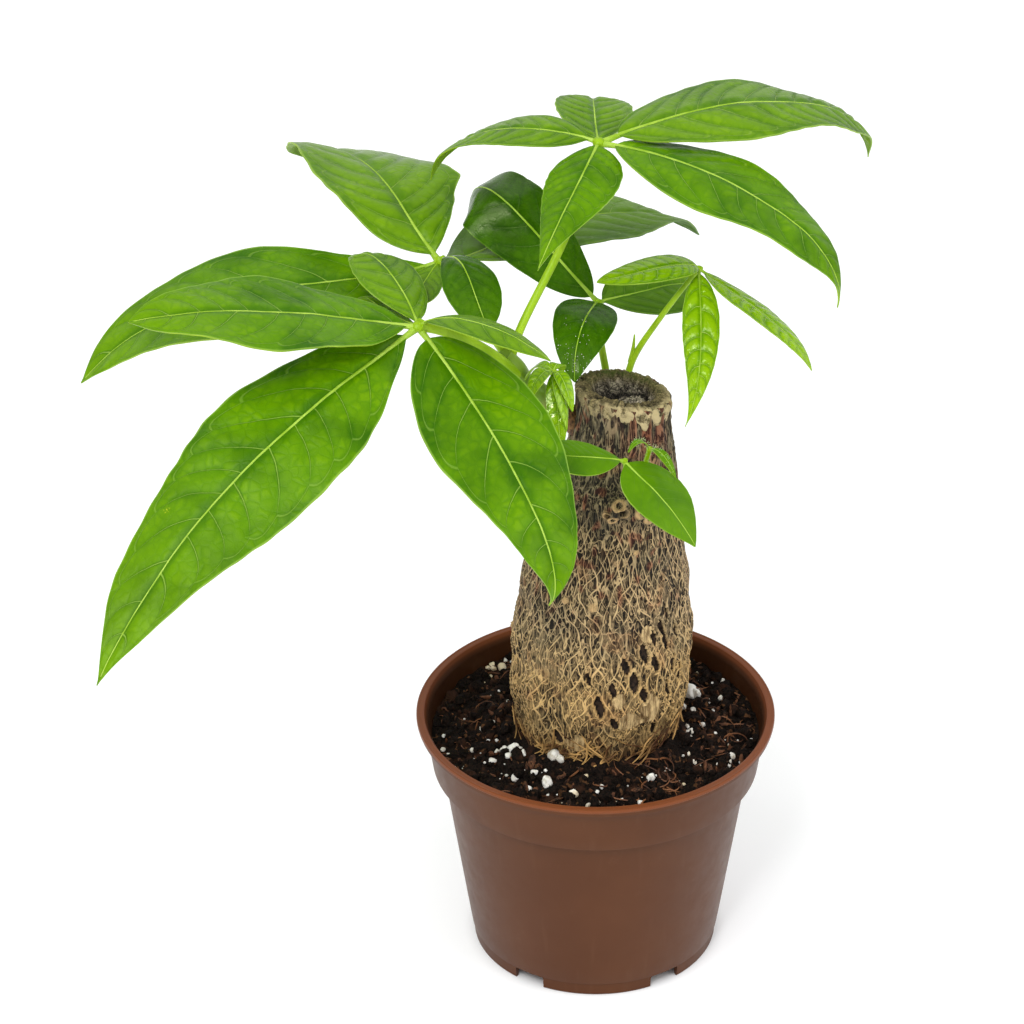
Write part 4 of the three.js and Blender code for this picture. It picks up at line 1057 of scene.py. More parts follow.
# ---- Leaf shapes --------------------------------------------------------------------------------
class Blade:
    """A leaflet: the curve that it grows along, its outline, and the lie of its side veins."""

    def __init__(self, hub, plan, seed):
        self.plan = plan
        self.seed = seed
        self.start = np.array(hub, dtype=float)
        self.tip = np.array(plan.tip, dtype=float)
        if isinstance(plan.bend, tuple):
            self.near, self.far = (np.array(bend, dtype=float) for bend in plan.bend)
        else:
            lift = UP * plan.bend * 4 / 3
            self.near = self.start + (self.tip - self.start) / 3 + lift
            self.far = self.start + (self.tip - self.start) * 2 / 3 + lift
        self.level = unit(np.cross(self.tip - self.start, UP))
        self.length = np.linalg.norm(np.diff(self.at(np.linspace(0, 1, 60)), axis=0), axis=1).sum()
        self.size = plan.width / 40
        self.spacing = self.length / (plan.veins + 1.5)

    def at(self, t):
        t = np.asarray(t)[:, None]
        u = 1 - t
        return u ** 3 * self.start + 3 * u * u * t * self.near + 3 * u * t * t * self.far + t ** 3 * self.tip

    def frame(self, t):
        """Directions across and out of the blade."""
        s = np.asarray(t)[:, None]
        u = 1 - s
        along = 3 * u * u * (self.near - self.start) + 6 * u * s * (self.far - self.near)
        along = unit(along + 3 * s * s * (self.tip - self.far))
        across = unit(self.level - along * (along @ self.level)[:, None])
        turn = np.radians(self.plan.roll + self.plan.twist * np.asarray(t))[:, None]
        across = across * np.cos(turn) + np.cross(along, across) * np.sin(turn)
        return across, np.cross(across, along)

    def half(self, t):
        """Half-width at t along the leaflet, which is pointed at both ends."""
        u = np.clip((t - STALK_PART) / (1 - STALK_PART), 0, 1)
        widest = self.plan.widest
        a = self.plan.full * widest
        b = self.plan.full - a
        share = u ** a * (1 - u) ** b / (widest ** a * (1 - widest) ** b)
        return np.maximum(0.5 * self.plan.width * share, EDGE_HALF)

    def phase(self, s, t, side, half):
        """Count of side veins passed at a point; a whole number is a vein."""
        count = self.plan.veins
        reach = np.abs(s)
        sway = 0.22 * np.sin(t * count * 1.7 + self.seed + side)
        sway = sway + 0.16 * np.sin(t * count * 0.71 + 2.3 * self.seed - side)
        slant = self.plan.lean + self.plan.slant * side
        lean = reach * half / self.spacing * (slant + 0.15 * reach) + 0.75 * reach ** 3
        return t * (count + 1.5) - lean + 0.5 * (side > 0) + sway * (1 - 0.3 * reach)

    def flat(self, s, t, half):
        """Places on the blade as if it were pressed flat."""
        return np.column_stack((s * half, t * self.length, np.full(len(s), self.seed * 3.7)))

    def drift(self, flat, half):
        """Slow rise and fall of the whole blade."""
        broad = 0.7 * self.size * clouds(flat, 21 * self.size + 4) * smoothstep(0, 4, half)
        return broad + 0.16 * clouds(flat, 5.5)

    def lay(self, a, b):
        """Where its grid goes: folded, waved, scalloped and quilted between its side veins."""
        plan = self.plan
        s, t = 2 * a - 1, b
        across, normal = self.frame(t)
        reach = np.abs(s)
        half = self.half(t)
        phase = self.phase(s, t, np.where(s > 0, 1.0, -1.0), half)
        fold = math.radians(plan.fold)
        ripple = plan.wave * s * s * np.sin(TURN * WAVES * t + np.where(s > 0, 0, 2))
        ripple = ripple * np.minimum(1, half / WAVE_FULL_AT)
        x = reach * half
        quilt = plan.pleat * np.abs(np.sin(math.pi * phase)) ** 0.8 * np.minimum(1, half / 4)
        quilt = quilt * (1 - np.exp(-(x / (0.9 * self.size + 0.5)) ** 2)) * (1 - 0.9 * reach ** 4)
        quilt = quilt - RIB_GROOVE * self.size * np.exp(-(x / (1.3 * self.size + 0.3)) ** 2)
        flat = self.flat(s, t, half)
        teeth = np.sin(TURN * phase) + 1.5 * clouds(flat, 11)
        scallop = 1 + (0.004 + 0.010 * plan.pleat) * teeth * reach ** 3
        for edge_side, place, spread, amount in plan.edges:
            near = np.exp(-np.abs((t - place) / spread) ** 1.5) * (s * edge_side > 0)
            scallop = scallop + amount * near * reach ** 2.5
        point = self.at(t) + across * (s * half * math.cos(fold) * scallop)[:, None]
        lift = x * math.sin(fold) + ripple + quilt + self.drift(flat, half)
        if plan.curl:
            start, amount, side = plan.curl
            bend = smoothstep(start, 1, t) * smoothstep(0.45, 1, s * side)
            lift = lift + amount * bend
            point = point - across * (side * abs(amount) * 0.55 * bend ** 2)[:, None]
        return point + normal * lift[:, None], (s, t, half)

    def add_maps(self, mesh, facts):
        """Two maps of the blade: where a point is on it, and which side vein it is near."""
        corners = corners_of(mesh)
        s, t, half = (fact[corners] for fact in facts)
        side = np.repeat(np.where(s.reshape(-1, 4).mean(axis=1) > 0, 1.0, -1.0), 4)
        add_map(mesh, "blade", s / 2 + 0.5, t)
        # Each leaflet's net starts elsewhere, by whole veins, so that no two are alike.
        shift = 10.0 * (1 + self.seed % 7)
        add_map(mesh, "veins", s * half / self.spacing + shift, self.phase(s, t, side, half) + shift)

    def make(self, name):
        width = self.plan.width
        across = 12 if width < SMALL_WIDTH else 28 if width < 30 else 36
        along = 36 if width < SMALL_WIDTH else int(min(130, max(60, self.length / 1.05)))
        piece, facts = sheet(name, across, along, self.lay)
        self.add_maps(piece.data, facts)
        dress(piece, *LEAF_LOOKS[self.plan.look])
        thick = BLADE_THICK * (0.7 + 0.3 * min(1, width / 30))
        apply_modifier(piece, "SOLIDIFY", thickness=thick * MM, offset=-1, material_offset=1,
                       material_offset_rim=2, use_even_offset=False)
        smooth(piece, 55)
        return piece

    def rib(self):
        """The midrib's run of places and radii, half sunk in the blade."""
        t = np.linspace(0, 0.985, RIB_STEPS)
        radii = RIB_AT_TIP + (RIB_MIDDLE - RIB_AT_TIP) * (1 - t) ** 0.8
        radii = (self.plan.width / 46) ** 0.55 * (radii + (RIB_AT_HUB - RIB_MIDDLE) * np.exp(-t / 0.07))
        half = self.half(t)
        sink = self.drift(self.flat(t * 0, t, half), half) - RIB_GROOVE * self.size - radii * 0.42
        return self.at(t) + self.frame(t)[1] * sink[:, None], radii


def make_leaf(leaf, order):
    """A palmate leaf: its stalk, its swollen hub and its leaflets, grown as one."""
    name = leaf.node
    blades = []
    for index, leaflet in enumerate(leaf.leaflets):
        blades.append(Blade(leaf.hub, leaflet, order * 7 + index + 1))
    parts = [blade.make(name + "_blade") for blade in blades]
    parts.append(tubes(name + "_ribs", [blade.rib() for blade in blades], 3))
    stalks = []
    for points, start, end in leaf.stalks:
        share = np.linspace(0, 1, 40)
        swell = 1 + 0.35 * np.exp(-((1 - share) / 0.05) ** 2) + 0.25 * np.exp(-(share / 0.07) ** 2)
        radii = (start + (end - start) * share) * (swell if end > 0.5 else 1)
        stalks.append((smooth_path(points, 40), radii))
    parts.append(tubes(name + "_stalks", stalks, 5))
    deselect()
    bpy.ops.mesh.primitive_uv_sphere_add(segments=24, ring_count=14, radius=leaf.joint * 0.82 * MM)
    joint = bpy.context.active_object
    shape = places(joint.data) / MM
    dents = 1 + 0.16 * clouds(shape, leaf.joint * 0.7, order)
    set_places(joint.data, shape * dents[:, None] * (1, 1, 0.8) + leaf.hub - UP * 0.4)
    parts.append(joint)
    green = material("green stalk", stalk_skin)
    for part, skin in zip(parts[-3:], (material("midrib", vein_skin), green, green)):
        smooth(part, 80)
        dress(part, skin)
    settle(join(parts, name + "_grown"), name)


def make_shoot(name, node, points, start, end):
    path = smooth_path(points, 50)
    share = np.linspace(0, 1, 50)
    knots = 1 + 0.09 * np.sin(share * 24) + 0.22 * np.exp(-((share - 0.42) / 0.05) ** 2)
    shoot = tubes(name, [(path, (start + (end - start) * share) * knots)], 8)
    skin = places(shoot.data) / MM
    middle = path[np.argmin(np.linalg.norm(skin[:, None] - path[None], axis=2), axis=1)]
    woody = 1 - smoothstep(0.2, 0.65, np.linalg.norm(middle - path[0], axis=1) / 34)
    bump = 0.35 * woody * clouds(skin * (1, 1, 0.5), 1.6) + 0.12 * clouds(skin, 3.0)
    set_places(shoot.data, skin + unit(skin - middle) * bump[:, None])
    mark(shoot.data, "woody", woody)
    finish(shoot, 80, material("shoot", shoot_skin), node)


def make_hairs():
    """Fine hairs of the sprout that is still unfolding, on its stalk and its leaflets."""
    chance = random.Random(3)
    runs = []
    sprout = LEAVES[-1]
    routes = [smooth_path(sprout.stalks[0][0], 60)]
    for leaflet in sprout.leaflets:
        routes.append(Blade(sprout.hub, leaflet, 0).at(np.linspace(0.05, 0.95, 60)))
    for route in routes:
        for _ in range(60):
            index = chance.randrange(2, 58)
            along = unit(route[index + 1] - route[index - 1])
            lean = np.array((chance.gauss(0, 1), chance.gauss(0, 1), chance.gauss(0, 1)))
            out = unit(lean - along * (along @ lean))
            start = route[index] + out * 0.6
            tip = start + out * chance.uniform(0.5, 1.1) + along * chance.uniform(-0.3, 0.3)
            runs.append((np.linspace(start, tip, 3), np.array((0.045, 0.035, 0.012))))
    hairs = tubes("sprout_hairs", runs, 0)
    finish(hairs, None, material("fine hair", hair_white), "sprout_hairy")


def make_specks():
    """White crumbs of grit stuck to the lower end of one dark leaflet."""
    chance = random.Random(17)
    blade = Blade(LEAVES[3].hub, LEAVES[3].leaflets[2], 0)
    grains = []
    for _ in range(60):
        t = np.array((min(0.97, 0.38 + 0.55 * math.sqrt(chance.random())),))
        s = max(-0.9, min(0.9, chance.gauss(0.05, 0.45)))
        across, normal = blade.frame(t)
        spot = blade.at(t)[0] + across[0] * s * blade.half(t)[0] + normal[0] * 0.35
        grains.append((*spot, chance.uniform(0.08, 0.2)))
    specks = lumps("grit_specks", grains, 1, 0.3, 19)
    finish(specks, None, material("perlite", perlite_white), "leaf_behind_trunk")


# ---- Materials ----------------------------------------------------------------------------------
def paint(red, green, blue):
    """A colour as seen on a screen, from 0 to 255, as the light it reflects."""
    shares = []
    for value in (red / 255, green / 255, blue / 255):
        shares.append(value / 12.92 if value <= 0.04045 else ((value + 0.055) / 1.055) ** 2.4)
    return (*shares, 1.0)


class Value:
    """One output of a node, to be added, multiplied and spread like a number."""

    def __init__(self, skin, socket):
        self.skin = skin
        self.socket = socket

    def math(self, operation, *others):
        return self.skin.value("ShaderNodeMath", 0, dict(enumerate((self, *others))), operation=operation)

    def __add__(self, other):
        return self.math("ADD", other)

    def __sub__(self, other):
        return self.math("SUBTRACT", other)

    def __mul__(self, other):
        return self.math("MULTIPLY", other)

    def __truediv__(self, other):
        return self.math("DIVIDE", other)

    def __abs__(self):
        return self.math("ABSOLUTE")

    def most(self, other):
        return self.math("MAXIMUM", other)

    def off_whole(self):
        """How far it is from the nearest whole number."""
        return abs((self + 0.5).math("FRACT") - 0.5)

    def spread(self, low, high, to_low=0.0, to_high=1.0, soft=True):
        kind = "SMOOTHSTEP" if soft else "LINEAR"
        inputs = {"Value": self, "From Min": low, "From Max": high, "To Min": to_low, "To Max": to_high}
        return self.skin.value("ShaderNodeMapRange", 0, inputs, interpolation_type=kind)

    def between(self, first, second):
        """A colour that goes from the first to the second as this goes from 0 to 1."""
        ends = [paint(*end) if isinstance(end, tuple) else end for end in (first, second)]
        inputs = {0: self, 6: ends[0], 7: ends[1]}
        return self.skin.value("ShaderNodeMix", 2, inputs, data_type="RGBA", blend_type="MIX")

    def length(self):
        return self.skin.value("ShaderNodeVectorMath", "Value", {0: self}, operation="LENGTH")


def coats(colour, *layers):
    """Lay colours over one another, each with its own share."""
    for share, over in layers:
        colour = share.between(colour, over)
    return colour


class Skin:
    """A material or a node group being written, with short words for its common steps."""

    def __init__(self, tree):
        self.tree = tree

    def put(self, socket, value):
        if isinstance(value, Value):
            self.tree.links.new(value.socket, socket)
        else:
            socket.default_value = value

    def node(self, kind, inputs=None, **settings):
        made = self.tree.nodes.new(kind)
        for name, value in settings.items():
            setattr(made, name, value)
        for name, value in (inputs or {}).items():
            self.put(made.inputs[name], value)
        return made

    def value(self, kind, output, inputs=None, **settings):
        return Value(self, self.node(kind, inputs, **settings).outputs[output])

    def split(self, value, kind="XYZ"):
        return [Value(self, part) for part in self.node("ShaderNodeSeparate" + kind, {0: value}).outputs]

    def noise(self, place, scale, detail=3.0, rough=0.5):
        inputs = {"Vector": place, "Scale": scale, "Detail": detail, "Roughness": rough}
        return self.value("ShaderNodeTexNoise", 0, inputs)

    def cells(self, place, scale, output="Distance", feature="F1"):
        return self.value("ShaderNodeTexVoronoi", output, {"Vector": place, "Scale": scale}, feature=feature)

    def chance(self, place, scale):
        """A number for each cell."""
        return self.split(self.cells(place, scale, "Color"), "Color")[0]

    def swirls(self, place, scale, reach):
        """Thin winding lines along the middle level of a noise."""
        return abs(self.noise(place, scale, 1, 0.4) - 0.5).spread(reach, reach * 0.35)

    def here(self, stretch=(1, 1, 1)):
        """The place on the piece in metres, stretched along each axis."""
        place = self.value("ShaderNodeTexCoord", "Object")
        return self.value("ShaderNodeMapping", 0, {"Vector": place, "Scale": stretch})

    def marks(self, name):
        return self.split(self.value("ShaderNodeAttribute", "Color", attribute_name=name), "Color")

    def grain(self, place, scale):
        inputs = {"Place": place, "Scale": scale}
        group = node_group("uneven grain", {"Place": "Vector", "Scale": "Float"}, uneven_grain)
        made = self.node("ShaderNodeGroup", inputs, node_tree=group).outputs
        return Value(self, made["Broad"]), Value(self, made["Grain"])

    def bump(self, height, strength, distance, under=None):
        inputs = {"Height": height, "Strength": strength, "Distance": distance * MM}
        if under is not None:
            inputs["Normal"] = under
        return self.value("ShaderNodeBump", 0, inputs)

    def wear(self, colour, roughness, normal, shine, gloss_tint=(1, 1, 1)):
        """Give the material its colour, roughness, surface and shine."""
        shader = self.tree.nodes["Principled BSDF"].inputs
        self.put(shader["Base Color"], colour)
        self.put(shader["Roughness"], roughness)
        if normal is not None:
            self.put(shader["Normal"], normal)
        self.put(shader["Specular IOR Level"], shine)
        self.put(shader["Specular Tint"], (*gloss_tint, 1))


def material(name, write, *values):
    """The material of that name, written the first time it is asked for."""
    made = bpy.data.materials.get(name)
    if made is None:
        made = bpy.data.materials.new(name)
        made.use_nodes = True
        write(Skin(made.node_tree), *values)
    return made


def node_group(name, inputs, write):
    """A group of nodes that is made once; write gives a mask for each of its outputs."""
    group = bpy.data.node_groups.get(name)
    if group is None:
        group = bpy.data.node_groups.new(name, "ShaderNodeTree")
        for socket, kind in inputs.items():
            group.interface.new_socket(socket, in_out="INPUT", socket_type="NodeSocket" + kind)
        skin = Skin(group)
        source = skin.node("NodeGroupInput").outputs
        masks = write(skin, *(Value(skin, source[socket]) for socket in inputs))
        for socket in masks:
            group.interface.new_socket(socket, in_out="OUTPUT", socket_type="NodeSocketFloat")
        target = skin.node("NodeGroupOutput").inputs
        for socket, mask in masks.items():
            skin.put(target[socket], mask)
    return group


def uneven_grain(skin, place, scale):
    """Fine uneven grain at two sizes, for plastic, wood, soil and leaf alike."""
    return {"Broad": skin.noise(place, scale, 3, 0.55), "Grain": skin.noise(place, scale * 9, 4, 0.6)}


def pot_plastic(skin):
    place = skin.here()
    broad, grain = skin.grain(place, 22)
    height = skin.split(place)[2]
    # The wall inside is painted darker, from the rim down to the soil: painted shade inside the pot.
    depth = height * -0.1455 + skin.here((1, 1, 0)).length()
    inside = depth.spread(0.0444, 0.0438) * height.spread(0.0866, 0.085) * height.spread(0.0735, 0.0765)
    streak = skin.noise(skin.here((1, 1, 0.05)), 260, 2)
    colour = coats(
        broad.spread(0.35, 0.7).between((78, 41, 18), (84, 46, 22)),
        (height.spread(0.0862, 0.0872) * 0.75, (126, 68, 38)),
        (inside * 0.6, (34, 18, 8)),
        (streak.spread(0.55, 0.8, 0, 0.12), (110, 76, 56)),
        (skin.noise(place, 95, 5, 0.7).spread(0.6, 0.78, 0, 0.15), (120, 86, 66)),
    )
    rough = grain.spread(0.3, 0.7, 0.36, 0.46, soft=False)
    skin.wear(colour, rough, skin.bump(skin.noise(place, 2600, 2), 0.12, 0.05), 0.25, (1.0, 0.85, 0.7))


def peat(skin):
    place = skin.here()
    broad, grain = skin.grain(place, 170)
    colour = coats(
        grain.spread(0.38, 0.66).between((6, 4, 3), (36, 24, 17)),
        (broad.spread(0.54, 0.66, 0, 0.7), (60, 36, 23)),
        (skin.chance(place, 900).spread(0.94, 0.98, 0, 0.5), (120, 82, 52)),
    )
    skin.wear(colour, 0.85, skin.bump(skin.noise(place, 1500, 6, 0.75), 0.9, 0.6), 0.15)


def perlite_white(skin):
    place = skin.here()
    colour = coats(
        skin.grain(place, 260)[0].spread(0.35, 0.65).between((196, 190, 178), (240, 238, 232)),
        (skin.noise(place, 420, 4, 0.6).spread(0.56, 0.7, 0, 0.55), (150, 130, 100)),
        (skin.noise(place, 55, 2).spread(0.54, 0.62, 0, 0.6), (216, 190, 138)),
    )
    skin.wear(colour, 0.8, skin.bump(skin.cells(place, 1300), 0.5, 0.25), 0.3)


def wood_chip(skin):
    broad, grain = skin.grain(skin.here(), 240)
    colour = broad.spread(0.4, 0.62).between((30, 17, 11), (96, 58, 36))
    colour = grain.spread(0.5, 0.7, 0, 0.6).between(colour, (142, 98, 64))
    skin.wear(colour, 0.75, skin.bump(grain, 0.7, 0.4), 0.3)


def two_tone(skin, stretch, scale, ends, dark, light, rough, relief, shine):
    """A plain finish that drifts between two colours; relief is the strength and height of its grain."""
    broad, grain = skin.grain(skin.here(stretch), scale)
    share = broad.spread(*ends) if ends else broad
    skin.wear(share.between(dark, light), rough, skin.bump(grain, *relief) if relief else None, shine)


def frayed_bark(skin):
    two_tone(skin, (1, 1, 0.3), 140, (0.38, 0.62), (78, 46, 20), (196, 154, 92), 0.6, (0.5, 0.2), 0.3)


def root_fibre(skin):
    two_tone(skin, (1, 1, 1), 150, (0.35, 0.65), (72, 40, 22), (140, 90, 54), 0.6, (0.4, 0.1), 0.4)


def hair_white(skin):
    two_tone(skin, (1, 1, 1), 300, None, (170, 196, 120), (222, 232, 190), 0.6, None, 0.3)


def stalk_skin(skin):
    two_tone(skin, (1, 1, 0.35), 120, (0.35, 0.65), (130, 168, 8), (158, 194, 34), 0.36, (0.25, 0.15), 0.22)


def vein_skin(skin):
    two_tone(skin, (1, 1, 1), 110, (0.35, 0.65), (134, 172, 30), (164, 196, 72), 0.36, (0.2, 0.1), 0.25)


def edge_skin(skin, first, second):
    two_tone(skin, (1, 1, 1), 90, (0.3, 0.7), first, second, 0.4, None, 0.4)


def shoot_skin(skin):
    """Green stem that is still brown and woody where it leaves the trunk."""
    woody = skin.marks("woody")[0]
    broad, grain = skin.grain(skin.here((1, 1, 0.5)), 130)
    green = broad.spread(0.35, 0.65).between((92, 128, 18), (118, 150, 34))
    brown = grain.spread(0.35, 0.65).between((70, 46, 28), (140, 100, 62))
    skin.wear(woody.between(green, brown), woody.spread(0, 1, 0.38, 0.75), skin.bump(grain, 0.4, 0.3), 0.4)


def bark_skin(skin):
    """Tan raised net over hollows painted dark, partly the bark's own colour and partly painted shade; long
    grey-brown fibres towards the cut.
    """
    tone, buff, rust = skin.marks("bark")
    rising_show, falling_show, _ = skin.marks("threads")
    eye, plate, lip = skin.marks("patches")
    place = skin.here()
    tall = skin.here((1, 1, 0.38))
    strand = skin.here((1, 1, 0.10))
    torn = skin.noise(place, 900, 3, 0.65)
    eye = (eye + torn.spread(0.3, 0.7, -0.15, 0.15)).spread(0.38, 0.60)
    plate = (plate + torn.spread(0.3, 0.7, -0.3, 0.3)).spread(0.42, 0.56)
    broad, grain = skin.grain(place, 75)
    height = skin.split(place)[2]
    upper = height.spread(0.160, 0.186)
    # Threads, curls and fibres, each where the photograph shows it.
    width = skin.noise(place, 260, 2, 0.6).spread(0.3, 0.7, 0.045, 0.13, soft=False)
    rising, falling, _ = skin.split(skin.value("ShaderNodeUVMap", 0, uv_map="crossing threads"))
    rising = (rising.off_whole() / width).spread(1.0, 0.45) * rising_show
    falling = (falling.off_whole() / width).spread(1.0, 0.45) * falling_show
    net = rising.most(falling) * upper.spread(0, 1, 1.0, 0.0)
    curls = skin.swirls(tall, 330, 0.030).most(skin.swirls(tall, 610, 0.035)) * upper.spread(0, 1, 0.75, 0.3)
    fibres = skin.swirls(strand, 420, 0.045).most(skin.swirls(strand, 900, 0.05))
    fibres = fibres * upper.spread(0, 1, 0.25, 0.8)
    bare = (eye.most(plate * 0.45) - 1) * -1
    detail = (net.most(curls).most(fibres) * bare).most(lip * 0.8)
    # The colour follows the relief: the raised net and marks are tan, and the low places between them are
    # painted dark, partly the bark's own colour and partly painted shade.
    level = detail * 0.84 + tone * 0.62 + grain.spread(0.3, 0.7, -0.16, 0.16, soft=False)
    ramp = level.spread(0.15, 0.93, soft=False)
    light = upper.between((208, 178, 130), (140, 126, 94))
    light = height.spread(0.138, 0.108).between(light, (220, 182, 120))
    grained = tone + skin.noise(strand, 900, 4, 0.7).spread(0.3, 0.7, -0.35, 0.35)
    # Darker near the soil: partly the bark's own brown and partly painted shade where the trunk goes into
    # the soil.
    foot_brown_and_shade = height.spread(0.094, 0.084) * broad.spread(0.3, 0.6, 0.3, 0.9)
    warm = skin.noise(place, 130).spread(0.52, 0.7, 0, 0.45)
    colour = coats(
        ramp.between(upper.between((27, 20, 12), (26, 22, 16)), light),
        (broad.spread(0.48, 0.7, 0, 0.45), ramp.between((32, 32, 24), (132, 124, 96))),
        (warm, ramp.between((60, 36, 20), (176, 124, 76))),
        (rust * 0.8, ramp.between((62, 24, 15), (156, 84, 58))),
        (buff * tone.spread(0.2, 0.6), (208, 172, 120)),
        (plate * 0.85, grained.spread(0.2, 1.0).between((96, 70, 38), (222, 192, 138))),
        (foot_brown_and_shade, ramp.between((24, 14, 8), (150, 104, 56))),
        # The sunken eyes are painted near black: painted shade in the deep hollows.
        (eye, grain.spread(0.35, 0.65).between((20, 15, 11), (62, 47, 36))),
    )
    fine = skin.noise(strand, 1700, 5, 0.7)
    normal = skin.bump(detail, 1.0, 0.9, skin.bump(fine, 0.6, 0.35, skin.bump(grain, 0.6, 0.4)))
    skin.wear(colour, ramp.spread(0, 1, 0.8, 0.55), normal, 0.25)


def sawn_wood(skin):
    """Grey cracked middle, mossy and tan rim with a pale broken edge."""
    tone, pale, bowl = skin.marks("cut")
    place = skin.here()
    broad, grain = skin.grain(place, 320)
    level = tone + grain.spread(0.3, 0.7, -0.3, 0.3, soft=False)
    x, y, height = skin.split(place)
    turn = y.math("ARCTAN2", x - CUT_MIDDLE)
    fan = skin.value("ShaderNodeCombineXYZ", 0, {0: turn, 2: height * 90.0})
    rays = skin.noise(fan, 22, 4, 0.7).spread(0.40, 0.60)
    cracks = skin.swirls(place, 260, 0.035).most(skin.swirls(place, 520, 0.03))
    rim = (level * rays.spread(0, 1, 0.4, 1.0)).between((32, 27, 16), (174, 156, 108))
    rim = (skin.marks("moss")[0] * broad.spread(0.35, 0.6)).between(rim, (74, 84, 32))
    heart = level.between((18, 14, 10), (206, 192, 166))
    # The cracks are painted near black: painted shade inside them.
    heart = (cracks * 0.8).between(heart, (16, 12, 8))
    colour = coats(rim, (bowl, heart), (pale * broad.spread(0.36, 0.5), (202, 184, 138)))
    under = skin.bump(skin.noise(place, 1800, 5, 0.7), 0.9, 0.4)
    skin.wear(colour, 0.75, skin.bump(skin.noise(place, 620, 4, 0.65), 1.0, 0.9, under), 0.25)


def leaf_masks(skin, blade, veins, place, width):
    """Masks of a blade: the painted shade beside its midrib, its side veins and the painted shade beside
    them, fine net, edge, the painted sheen of its pads, and the height of them all.
    """
    across, along, _ = skin.split(blade)
    reach = abs(across * 2 - 1)
    phase = skin.split(veins)[1] + skin.noise(veins, 1.6, 2).spread(0, 1, -0.06, 0.06, soft=False)
    line = phase.off_whole() / (width * reach.spread(0, 0.9, 1.25, 0.5, soft=False))
    # Beyond their ends the side veins join in arches along the edge.
    arch = abs((phase * math.pi).math("SINE"))
    loop = abs(reach - (arch * 0.09 + 0.80))
    side = (line.spread(1.0, 0.3) * reach.spread(0.84, 0.64)).most(loop.spread(0.014, 0.004, 0, 0.4))
    beside_shade = (line.spread(3.0, 0.9) * reach.spread(0.9, 0.6)).most(loop.spread(0.05, 0.012, 0, 0.35))
    drift = skin.value("ShaderNodeTexNoise", "Color", {"Vector": place, "Scale": 260.0})
    drift = skin.value("ShaderNodeVectorMath", 0, {0: drift, 3: 0.0022}, operation="SCALE")
    wavy = skin.value("ShaderNodeVectorMath", 0, {0: place, 1: drift}, operation="ADD")
    mesh_edge = skin.cells(wavy, NET_SCALE, feature="DISTANCE_TO_EDGE")
    fine_edge = skin.cells(wavy, NET_SCALE * 3.1, feature="DISTANCE_TO_EDGE")
    net = mesh_edge.spread(0.08, 0.015, 0, 0.75) + fine_edge.spread(0.12, 0.02, 0, 0.3)
    mottle = mesh_edge.spread(0.02, 0.32) * skin.chance(wavy, NET_SCALE).spread(0, 1, 0.25, 1)
    return {
        # The midrib is a rod of its own; here it is the soft band beside it, where shade is painted.
        "Midrib": reach.spread(0.17, 0.02),
        "Side Veins": side,
        "Beside": beside_shade,
        "Net": net,
        "Mottle": mottle,
        "Edge": reach.spread(0.965, 0.992),
        "Tip": along.spread(0.55, 1.0),
        # Painted sheen: the middle of each pad between the side veins is painted lighter.
        "Pad": arch.spread(0.12, 0.8) * reach.spread(0.95, 0.75) * reach.spread(0.06, 0.25),
        "Height": side * -1 + net * -0.1 + mottle * 0.3,
    }


def leaf_skin(skin, dark, main, light, vein, rough, shine, vein_show, net_show, width, relief,
              pad_sheen_show=0.15, shade_show=0.5, spot=None):
    """One face of a leaflet."""
    place = skin.here()
    sockets = {"Blade": "Vector", "Veins": "Vector", "Place": "Vector", "Width": "Float"}
    inputs = {"Place": place, "Width": width}
    for socket in ("Blade", "Veins"):
        inputs[socket] = skin.value("ShaderNodeUVMap", 0, uv_map=socket.lower())
    veins = skin.node("ShaderNodeGroup", inputs, node_tree=node_group("leaf veins", sockets, leaf_masks))
    masks = {socket.name: Value(skin, socket) for socket in veins.outputs}
    broad, grain = skin.grain(place, 48)
    colour = coats(
        broad.spread(0.30, 0.60).between(dark, main),
        (masks["Mottle"] * broad.spread(0.35, 0.65, 0.12, 0.42), light),
        # Painted sheen on the pads.
        (masks["Pad"] * pad_sheen_show, light),
        (masks["Tip"] * 0.35, light),
        (masks["Net"] * net_show, dark),
        # Painted shade beside the midrib and the side veins.
        (masks["Midrib"].most(masks["Beside"]) * shade_show, dark),
        (masks["Side Veins"] * vein_show, vein),
        (masks["Edge"] * 0.6, vein),
    )
    if spot is not None:
        # A few small scars, each with a ragged edge.
        ragged = skin.noise(place, 1500, 2, 0.6).spread(0.3, 0.7, -0.05, 0.05)
        scar = (skin.cells(place, 62) + ragged).spread(0.075, 0.05)
        scar = scar * skin.chance(place, 62).spread(0.80, 0.82)
        colour = scar.between(colour, spot)
    roughness = grain.spread(0.3, 0.7, rough - 0.05, rough + 0.07, soft=False)
    under = skin.bump(skin.noise(place, 900, 3, 0.6), 0.12, 0.12)
    skin.wear(colour, roughness, skin.bump(masks["Height"], relief, 0.45, under), shine, (0.92, 1.0, 0.6))


def leaf_looks():
    """The top, the underside and the edge of each kind of leaflet."""
    unders = {}
    for name, main, light, vein in LEAF_UNDERS:
        unders[name] = material(name, leaf_skin, main, main, light, vein, 0.5, 0.25, 0.6, 0.2, 0.04, -0.6)
    rims = {name: material(name, edge_skin, first, second) for name, first, second in LEAF_RIMS}
    looks = {}
    for look, under, rim, *values in LEAF_TOPS:
        looks[look] = (material("leaf " + look, leaf_skin, *values), unders[under], rims[rim])
    return looks


def studio_paper(skin):
    colour = skin.noise(skin.here(), 3.0).between((226, 227, 228), (230, 231, 232))
    skin.wear(colour, 0.9, None, 0.0)
    shader = skin.tree.nodes["Principled BSDF"].inputs
    skin.put(shader["Emission Color"], (1, 1, 1, 1))
    # The floor's glow is painted light that washes out its shadows; it fades out under the pot as a painted
    # shadow.
    glow = skin.here().length().spread(PAINTED_SHADOW_INNER, PAINTED_SHADOW_OUTER, 0.0, FLOOR_PAINTED_GLOW)
    skin.put(shader["Emission Strength"], glow)


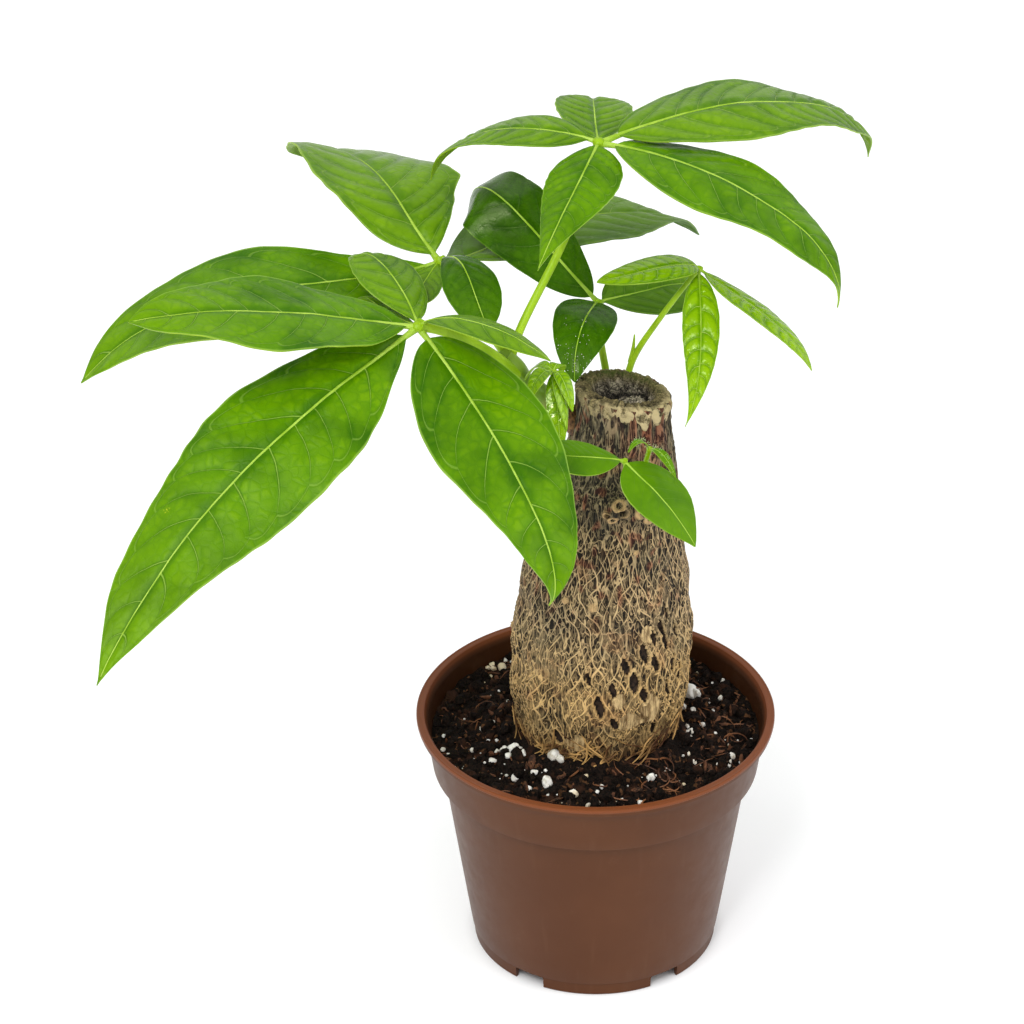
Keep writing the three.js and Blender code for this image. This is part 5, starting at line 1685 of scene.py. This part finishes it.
# ---- Floor, light and camera --------------------------------------------------------------------
def make_floor():
    deselect()
    bpy.ops.mesh.primitive_plane_add(size=FLOOR_SIZE)
    floor = bpy.context.active_object
    floor.name = "studio_floor"
    dress(floor, material("studio paper", studio_paper))


def make_light():
    world = bpy.data.worlds.new("studio")
    bpy.context.scene.world = world
    world.use_nodes = True
    skin = Skin(world.node_tree)
    back = world.node_tree.nodes["Background"].inputs
    skin.put(back["Color"], (1, 1, 1, 1))
    # Gloss sees the white wall behind the plant, and a dark room on the viewer's side.
    mirrored = skin.value("ShaderNodeLightPath", "Is Glossy Ray")
    toward = skin.split(skin.value("ShaderNodeTexCoord", "Generated"))[1]
    dimmer = mirrored * toward.spread(-0.05, 0.5, WORLD_GLOW - DARK_ROOM, 0.0)
    skin.put(back["Strength"], dimmer * -1 + WORLD_GLOW)
    for name, place, power, size in LAMPS:
        light = bpy.data.lights.new(name, "AREA")
        light.energy = power
        light.size = size
        lamp = bpy.data.objects.new(name, light)
        bpy.context.scene.collection.objects.link(lamp)
        lamp.location = place
        lamp.rotation_euler = (Vector(TARGET) - Vector(place)).to_track_quat("-Z", "Y").to_euler()


def make_camera():
    data = bpy.data.cameras.new("view")
    data.lens = LENS
    data.sensor_width = SENSOR
    data.clip_end = 50
    camera = bpy.data.objects.new("view", data)
    bpy.context.scene.collection.objects.link(camera)
    camera.location = [value * MM for value in CAMERA_PLACE]
    tilt = Matrix.Rotation(math.radians(90 - CAMERA_DOWN), 3, "X")
    roll = Matrix.Rotation(math.radians(CAMERA_ROLL), 3, "Z")
    camera.rotation_euler = (tilt @ roll).to_euler()
    bpy.context.scene.camera = camera
    bpy.context.scene.view_settings.view_transform = "Standard"


# ---- The whole plant ----------------------------------------------------------------------------
make_camera()
make_light()
make_floor()
LEAF_LOOKS = leaf_looks()
make_pot()
make_soil()
make_soil_bits()
make_perlite()
make_fibres()
make_bark()
make_frays()
make_cut()
for node, shoot in SHOOTS.items():
    make_shoot(node + "_stem", node, *shoot)
for order, leaf in enumerate(LEAVES):
    make_leaf(leaf, order)
make_hairs()
make_specks()
